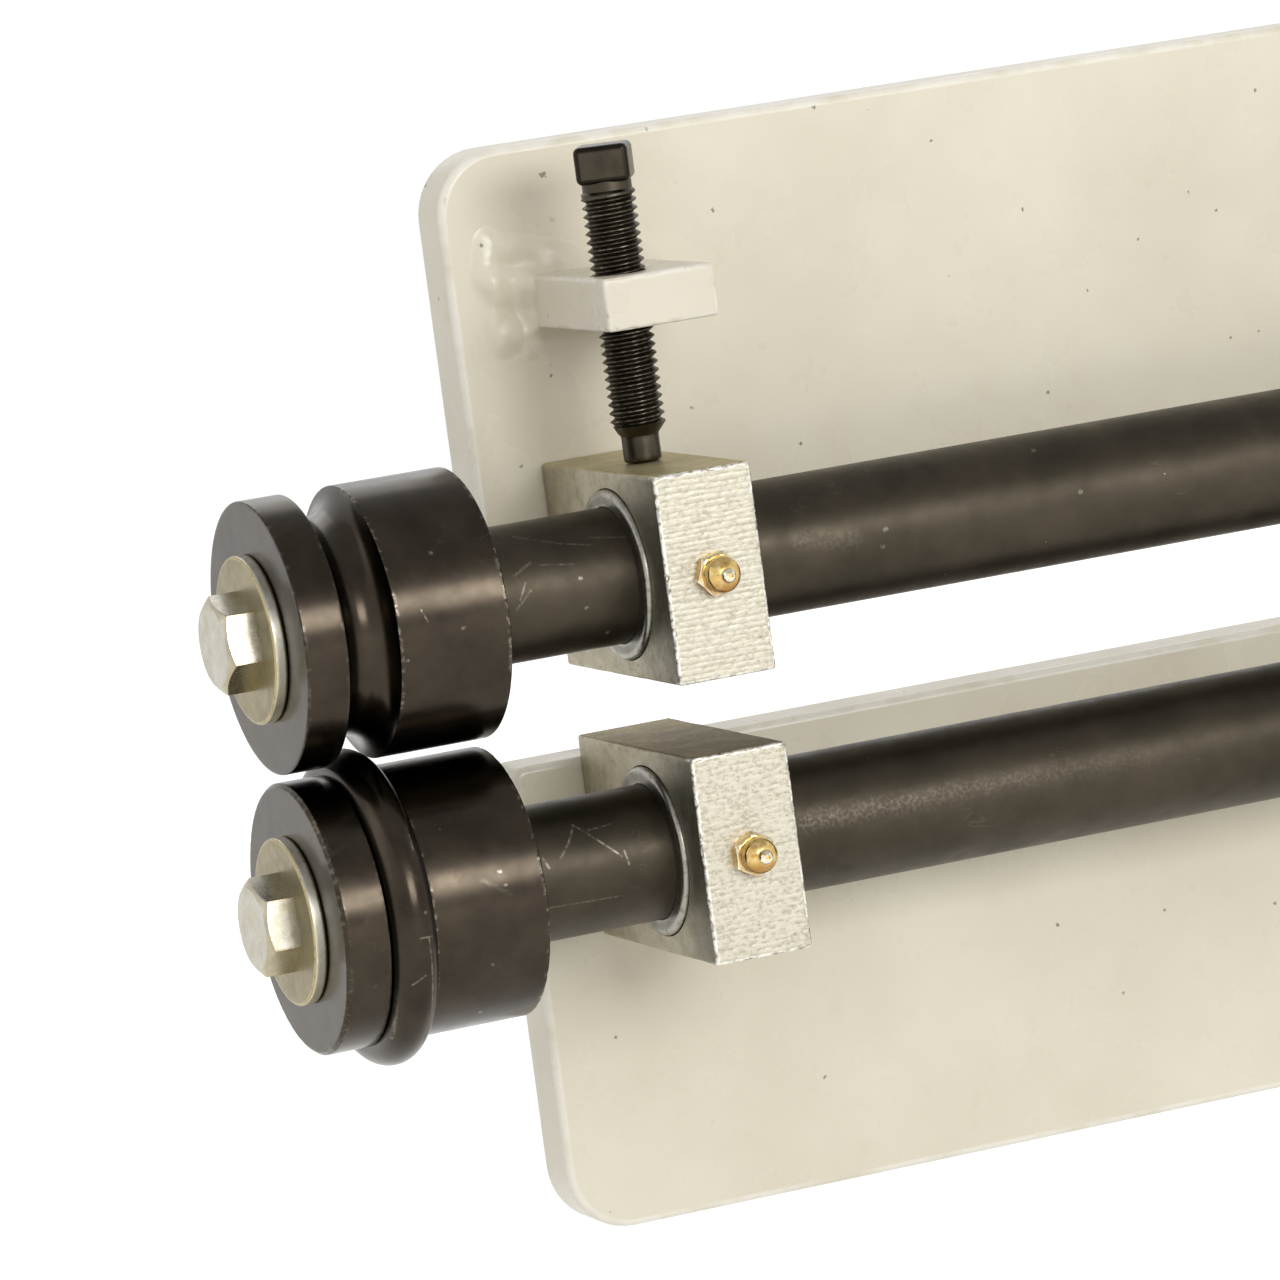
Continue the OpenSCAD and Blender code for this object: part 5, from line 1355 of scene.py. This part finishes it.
gearLook = {
    "teeth": 31, "module": 2 * mm, "play": 0.5 * mm, "pressure": 20, "rootDepth": 1.25, "width": 22 * mm,
    "bore": 15.2 * mm, "hub": 23 * mm, "hubEdge": 1 * mm, "recess": 1.5 * mm, "rim": 3.0 * mm,
    "edge": 0.25 * mm, "screwHole": 4 * mm, "screwReach": -30 * mm, "clear": 2 * mm,
}


def spurGear(row, look):
    node = f"{row}_gear"
    low, high, line = alongX(node)
    pitchR, pressure = look["teeth"] * look["module"] / 2, math.radians(look["pressure"])
    rootR = pitchR - look["rootDepth"] * look["module"]
    halfTooth = (math.pi * look["module"] / 2 - look["play"] / 2) / 2 / pitchR
    blank = grow(pathPiece("gearSeed", [(0, 0, 0), (0, 0, mm)]), gearBlanks, "machined_steel",
                 Teeth=look["teeth"], Tip=pitchR + look["module"], Root=rootR,
                 Base=pitchR * math.cos(pressure), HalfTooth=halfTooth + math.tan(pressure) - pressure,
                 Width=look["width"], Bore=look["bore"],
                 Turn=0.0 if row == "upper" else math.pi + math.pi / look["teeth"])
    # the tree's X is the frame's -Z here, so a tooth of one gear meets a gap of the other
    blank.data.transform(Matrix(((0, 0, 1, low.x), (0, 1, 0, line.y), (-1, 0, 0, line.z), (0, 0, 0, 1))))
    face, recess = low.x + look["width"], look["recess"]
    groove = [(face - recess, look["hub"]), (face + look["clear"], look["hub"]),
              (face + look["clear"], rootR - look["rim"]), (face - recess, rootR - look["rim"])]
    cutBy(blank, turned("gearRecess", groove, line, wrap=True))
    hub = [(face - 2 * recess, look["bore"], 0), (face - 2 * recess, look["hub"], 0), (high.x, look["hub"]),
           (high.x, look["bore"], look["edge"])]
    hub = turned("gearHub", softened(hub, look["hubEdge"], 4), line, wrap=True)
    screwAt = line + Vector((middle(f"{row}_gear_screw").x, 0, 0))
    cutBy(hub, rod("screwHole", look["screwHole"], look["screwReach"], 0, screwAt, "y", 32))
    piece = join(f"{row}Gear", [bevelled(blank, look["edge"], angle=40, segments=2), hub])
    finishPiece(piece, "machined_steel", f"{row}_shaft", node)


collarLook = {"bore": 15.2 * mm, "boreEdge": 0.3 * mm, "edge": 1 * mm, "screwHole": 4 * mm,
              "screwReach": -30 * mm}


def thrustCollar(row, look):
    node = f"{row}_collar"
    low, high, line = alongX(node)
    corners = ringPath(low.x, high.x, look["bore"], (high.z - low.z) / 2, look["boreEdge"])
    collar = turned(f"{row}Collar", softened(corners, look["edge"], 4), line, wrap=True)
    cutBy(collar, rod("screwHole", look["screwHole"], look["screwReach"], 0, middle(node), "y", 32))
    finishPiece(collar, "machined_steel", f"{row}_shaft", node)


smallSteelLook = {"edge": 0.25 * mm}


def smallSteelParts(look):
    # set screws and keys keep the shape of their CAD nodes, with eased edges
    for row in ("upper", "lower"):
        for kind in ("CollarScrew", "GearScrew", "DieKey", "GearKey"):
            node = row + "".join("_" + c.lower() if c.isupper() else c for c in kind)
            piece = bevelled(cadCopy(row + kind, node), look["edge"], angle=40, segments=2)
            screw = kind.endswith("Screw")
            finishPiece(piece, "screw_oxide" if screw else "machined_steel", f"{row}_shaft", node)


# Fasteners behind the plate

blockBoltLook = {"across": 13 * mm, "height": 5.3 * mm, "radius": 4 * mm, "washer": 8 * mm,
                 "edge": 0.3 * mm, "guard": 0.2 * mm}


def blockBolts(look):
    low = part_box("lower_block_bolts")[0]
    washLow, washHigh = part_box("lower_block_washers")
    centre = (washLow + washHigh) / 2
    span = washHigh - washLow
    seat = Vector((0, washHigh.y, 0))
    head = flatsHead("blockBoltHead", dict(hexLook, across=look["across"], height=look["height"]), seat, "y")
    shank = rod("blockBoltShank", look["radius"], low.y - washHigh.y, 0, seat, "y", 32)
    ring = ringPath(washLow.y, washHigh.y, look["radius"], look["washer"], look["edge"] / 2)
    washer = turned("lowerBlockWashers", softened(ring, look["edge"], 3, guard=look["guard"]), Vector(), "y",
                    64, wrap=True)
    for piece, node in ((join("lowerBlockBolts", [head, shank]), "lower_block_bolts"),
                        (washer, "lower_block_washers")):
        grow(piece, fastenerPattern, "zinc_plate", SpacingX=span.x - 2 * look["washer"],
             SpacingZ=span.z - 2 * look["washer"])
        piece.data.transform(Matrix.Translation((centre.x, 0, centre.z)))
        finishPiece(piece, "zinc_plate", "frame", node, sharp=25)


guideLook = {
    "radius": 6 * mm, "pitch": 1.75 * mm, "depth": 0.9 * mm, "fadeShare": 0.3, "ringsPerPitch": 12,
    "point": 1 * mm, "washer": 17 * mm, "pivotWasher": 13 * mm, "shoulder": 7 * mm,
    "shoulderPast": 0.2 * mm,
}


def guideAndPivot(look):
    low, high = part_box("guide_stud")
    axis = middle("guide_stud")
    nutLow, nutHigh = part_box("guide_nut")
    r, span, start = look["radius"], high.y - low.y, nutLow.y - low.y
    rings = round((span - start) / look["pitch"] * look["ringsPerPitch"])
    profile = [(0, 0, 0), (0, r, 0)]
    profile += [(start + (span - look["point"] - start) * k / rings, r, 0) for k in range(rings + 1)]
    profile += [(span, r - look["point"], 0), (span, 0, 0)]
    stud = turned("guideStud", profile, Vector(), "z", 48)
    grow(stud, threads, "zinc_plate", Pitch=look["pitch"], Depth=look["depth"], Start=start,
         End=span + look["pitch"], Fade=look["fadeShare"] * look["pitch"], Radius=r)
    stud.data.transform(Matrix.Translation((axis.x, low.y, axis.z)) @ Matrix.Rotation(-math.pi / 2, 4, "X"))
    finishPiece(stud, "zinc_plate", "upper_bearings", "guide_stud")
    plainWasher("guideWasher", "guide_washer", look["washer"], r, "y", "upper_bearings", washerLook)
    nutAt = Vector((axis.x, nutLow.y, axis.z))
    nut = flatsHead("guideNut", dict(hexLook, height=nutHigh.y - nutLow.y), nutAt, "y", bore=r, bothEnds=True)
    finishPiece(nut, "zinc_plate", "upper_bearings", "guide_nut", sharp=25)
    pivot = middle("pivot_bolt")
    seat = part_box("pivot_washer")[1].y
    origin = Vector((pivot.x, seat, pivot.z))
    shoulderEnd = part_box("frame_plate")[0].y - look["shoulderPast"] - seat
    parts = [flatsHead("pivotHead", hexLook, origin, "y"),
             rod("pivotShoulder", look["shoulder"], shoulderEnd, 0, origin, "y"),
             rod("pivotShank", r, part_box("pivot_bolt")[0].y - seat, 0, origin, "y", 48)]
    finishPiece(join("pivotBolt", parts), "zinc_plate", "upper_bearings", "pivot_bolt", sharp=25)
    plainWasher("pivotWasher", "pivot_washer", look["pivotWasher"], look["shoulder"], "y", "upper_bearings",
                washerLook)


# Crank and grip

crankLook = {
    "thickness": 12 * mm, "rootRadius": 20 * mm, "endRadius": 16 * mm, "edge": 1.6 * mm, "hub": 25 * mm,
    "hubEdge": 1.4 * mm, "hubBack": 0.2 * mm, "bore": 15.2 * mm, "gripHole": 6 * mm, "reach": 5 * mm,
    "boltAcross": 13 * mm, "boltHead": 5.5 * mm, "boltRadius": 4 * mm, "boltFrom": -35 * mm,
    "boltShort": 0.6 * mm,
}


def crankArm(look):
    low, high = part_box("crank_arm")
    shaft, grip, boltAt = middle("lower_shaft"), middle("crank_grip"), middle("crank_bolt")
    lean = math.degrees(math.asin((look["rootRadius"] - look["endRadius"]) / (shaft.z - grip.z)))
    # both arcs are drawn as (height, depth): the upper one round the shaft, the lower round the grip
    outline = arc(shaft.z, shaft.y, look["rootRadius"], -90 - lean, 90 + lean, 40)
    outline += arc(grip.z, shaft.y, look["endRadius"], 90 + lean, 270 - lean, 32)
    arm = slab("crankArm", outline, "x", high.x - look["thickness"], high.x, look["edge"], 4)
    line, back = alongX("lower_shaft")[2], high.x - look["hubBack"]
    hub = [(low.x, 0, 0), (low.x, look["hub"]), (back, look["hub"]), (back, 0, 0)]
    cutBy(arm, turned("hub", softened(hub, look["hubEdge"], 4, closed=False), line), way="UNION")
    gripLine, boltLine = Vector((0, shaft.y, grip.z)), Vector((boltAt.x, shaft.y, shaft.z))
    cutBy(arm, rod("hubBore", look["bore"], low.x - look["reach"], high.x + look["reach"], line, "x", 96),
          rod("gripHole", look["gripHole"], low.x, high.x + look["reach"], gripLine, "x", 48),
          rod("boltHole", look["boltRadius"], look["boltFrom"], 0, boltLine, "y", 32))
    finishPiece(arm, "black_enamel", "lower_shaft", "crank_arm")
    boltLow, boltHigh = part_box("crank_bolt")
    origin = Vector((boltAt.x, boltLow.y + look["boltHead"], shaft.z))
    head = dict(hexLook, across=look["boltAcross"], height=look["boltHead"])
    length = boltHigh.y - origin.y - look["boltShort"]
    parts = [flatsHead("crankBoltHead", head, origin, "y", facing=-1),
             rod("crankBoltShank", look["boltRadius"], 0, length, origin, "y", 32)]
    finishPiece(join("crankBolt", parts), "zinc_plate", "lower_shaft", "crank_bolt", sharp=25)


gripLook = {
    "largest": 17 * mm, "ends": 13 * mm, "round": 4 * mm, "bore": 6.1 * mm, "recess": 11.5 * mm,
    "recessDepth": 4 * mm, "grooves": 5, "groovePitch": 7 * mm, "grooveDepth": 0.5 * mm,
    "grooveSharpness": 6, "steps": 60,
}


def crankGrip(look):
    low, high, line = alongX("crank_grip")
    centreX, soft, ends = middle("crank_grip").x, look["round"], look["ends"]
    side = []
    for k in range(look["steps"] + 1):
        t = k / look["steps"]
        r = ends + (look["largest"] - ends) * (1 - (2 * t - 1) ** 2)
        along = low.x + soft + (high.x - low.x - 2 * soft) * t
        off = (along - centreX) / look["groovePitch"]
        if abs(off) < look["grooves"] / 2:                  # shallow finger grooves
            r -= look["grooveDepth"] * max(0.0, math.cos(2 * math.pi * off)) ** look["grooveSharpness"]
        side.append((along, r, 0))
    floor = high.x - look["recessDepth"]
    path = [(low.x, look["bore"], 0), (low.x, ends - soft, 0)]
    path += arc(low.x + soft, ends - soft, soft, 180, 90, 6)[1:-1] + side
    path += arc(high.x - soft, ends - soft, soft, 90, 0, 6)[1:]
    path += [(high.x, look["recess"], 0), (floor, look["recess"], 0), (floor, look["bore"], 0)]
    grip = turned("crankGrip", path, line, wrap=True)
    finishPiece(grip, "black_plastic", "crank_grip", "crank_grip")


spindleLook = {"radius": 6 * mm, "head": 11 * mm, "headLength": 6 * mm, "lead": 0.8 * mm,
               "headEdge": 1.4 * mm}


def gripSpindle(look):
    line = alongX("crank_grip")[2]
    low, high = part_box("grip_spindle")
    r, head, headStart = look["radius"], look["head"], high.x - look["headLength"]
    path = [(low.x, 0), (low.x, r, look["lead"]), (headStart, r, 0), (headStart, head, look["lead"] / 3),
            (high.x, head, look["headEdge"]), (high.x, 0)]
    spindle = turned("gripSpindle", softened(path, 0, 4, closed=False), line, segments=64)
    finishPiece(spindle, "zinc_plate", "lower_shaft", "grip_spindle")
    low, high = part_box("spindle_nut")
    nut = flatsHead("spindleNut", dict(hexLook, height=high.x - low.x), line + Vector((low.x, 0, 0)), "x",
                    bore=r, bothEnds=True)
    finishPiece(nut, "zinc_plate", "lower_shaft", "spindle_nut", sharp=25)


framePlate(plateLook)
mountingFoot(footLook)
adjusterLug(lugLook)
frameWelds(weldLook)
print("frame done")
adjustingScrew(screwLook)
for number, (row, end) in enumerate([(row, end) for row in ("upper", "lower") for end in ("front", "rear")]):
    bearingBlock(row, end, 1.0 + number, blockLook)
    shaftBush(row, end, bushLook)
    greaseNipple(row, end, nippleLook)
print("screw and bearings done")
for row in ("upper", "lower"):
    drivenShaft(row, shaftLook)
    beadDie(row, dieLook)
    dieFasteners(row, dieBoltLook)
    spurGear(row, gearLook)
    thrustCollar(row, collarLook)
smallSteelParts(smallSteelLook)
print("shafts, dies and gears done")
blockBolts(blockBoltLook)
guideAndPivot(guideLook)
crankArm(crankLook)
crankGrip(gripLook)
gripSpindle(spindleLook)
print("fasteners and crank done")

# Floor, light and camera

stageLook = {
    "floorGap": 1 * mm, "floorSize": 60.0, "floorColour": "#F4F3F0", "floorLift": 0.5,
    "worldColour": "#FFFFFF", "worldFill": 0.6,
    "flagSize": 2.6, "flagPlace": (-0.3, -0.5, 1.3), "flagColour": "#C4C4C4",
}


def seenDirectly(tree):
    # 1 for what the camera and mirrors see, 0 for the light that falls on things
    path = addNode(tree, "LightPath").node.outputs
    mirrored = addNode(tree, "Math", path["Is Glossy Ray"], path["Is Transmission Ray"], operation="ADD")
    return addNode(tree, "Math", path["Is Camera Ray"], mirrored, operation="ADD", use_clamp=True)


def levelCard(name, x, y, z, width):
    half = width / 2
    mesh = bpy.data.meshes.new(name)
    mesh.from_pydata([(x - half, y - half, z), (x + half, y - half, z), (x + half, y + half, z),
                      (x - half, y + half, z)], [], [(0, 1, 2, 3)])
    return placed(name, mesh)


def studioFloor(look):
    floor = levelCard("studioFloor", 0, 0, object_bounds()[0].z - look["floorGap"], look["floorSize"])
    # matt paper, lifted where it is seen so that it stays white under the lamps' falloff
    material, tree, shader = newFinish("paper backdrop", Roughness=0.9,
                                       Base_Color=linearColour(look["floorColour"]))
    lift = addNode(tree, "Math", seenDirectly(tree), look["floorLift"], operation="MULTIPLY")
    both = addNode(tree, "AddShader", shader.outputs[0], addNode(tree, "Emission", Strength=lift))
    tree.links.new(both, tree.nodes["Material Output"].inputs["Surface"])
    floor.data.materials.append(material)
    floor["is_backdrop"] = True


def studioWorld(look):
    world = bpy.data.worlds.new("studio")
    world.use_nodes = True
    bpy.context.scene.world = world
    tree = world.node_tree
    background = tree.nodes["Background"]
    background.inputs["Color"].default_value = linearColour(look["worldColour"])
    strength = addNode(tree, "MapRange", seenDirectly(tree), To_Min=look["worldFill"])
    tree.links.new(strength, background.inputs["Strength"])


def overheadFlag(look):
    # a grey card above the set that only mirrors see: dark parts show it, not the white world
    flag = levelCard("overheadFlag", *look["flagPlace"], look["flagSize"])
    flag.visible_camera = flag.visible_diffuse = flag.visible_transmission = flag.visible_shadow = False
    material = newFinish("grey card", Roughness=1.0, Base_Color=(0, 0, 0, 1), Emission_Strength=1.0,
                         Emission_Color=linearColour(look["flagColour"]))[0]
    flag.data.materials.append(material)
    flag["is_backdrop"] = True


def softBox(name, target, azimuth, elevation, distance, width, height, brightness):
    # an area lamp that looks at target; brightness is how bright its face is, where 1 is white
    a, e = math.radians(azimuth), math.radians(elevation)
    away = Vector((math.sin(a) * math.cos(e), -math.cos(a) * math.cos(e), math.sin(e)))
    lamp = bpy.data.lights.new(name, "AREA")
    lamp.shape = "RECTANGLE"
    lamp.size, lamp.size_y = width, height
    lamp.energy = brightness * math.pi * width * height
    piece = placed(name, lamp)
    piece.location = Vector(target) + away * distance
    piece.rotation_mode = "QUATERNION"
    piece.rotation_quaternion = away.to_track_quat("Z", "Y")


lampTarget = (-0.3, -0.05, 0.13)
lampLook = {
    "key": dict(azimuth=5, elevation=15, distance=2.4, width=1.3, height=0.6, brightness=9.8),
    "left": dict(azimuth=-95, elevation=25, distance=2.4, width=1.4, height=1.4, brightness=0.45),
    "rear": dict(azimuth=165, elevation=40, distance=2.4, width=1.6, height=1.6, brightness=0.7),
}
cameraLook = {
    "place": (-1.05387, -1.5392, 0.34811), "azimuth": -21.2703, "elevation": 7.1433, "roll": -7.5596,
    "lens": 206.15, "sensor": 36.0, "near": 0.01, "far": 200,
}


def photoCamera(look):
    a, e, roll = (math.radians(look[k]) for k in ("azimuth", "elevation", "roll"))
    back = Vector((math.sin(a) * math.cos(e), -math.cos(a) * math.cos(e), math.sin(e)))
    level = Vector((math.cos(a), math.sin(a), 0))
    upright = back.cross(level)
    right = level * math.cos(roll) + upright * math.sin(roll)
    up = upright * math.cos(roll) - level * math.sin(roll)
    camera = bpy.data.cameras.new("camera")
    camera.lens = look["lens"]
    camera.sensor_width = look["sensor"]
    camera.clip_start, camera.clip_end = look["near"], look["far"]
    piece = placed("camera", camera)
    piece.matrix_world = Matrix.Translation(look["place"]) @ Matrix((right, up, back)).transposed().to_4x4()
    bpy.context.scene.camera = piece


studioFloor(stageLook)
studioWorld(stageLook)
overheadFlag(stageLook)
for name, values in lampLook.items():
    softBox(name, lampTarget, **values)
photoCamera(cameraLook)
bpy.context.scene.view_settings.view_transform = "Standard"
print("stage done")
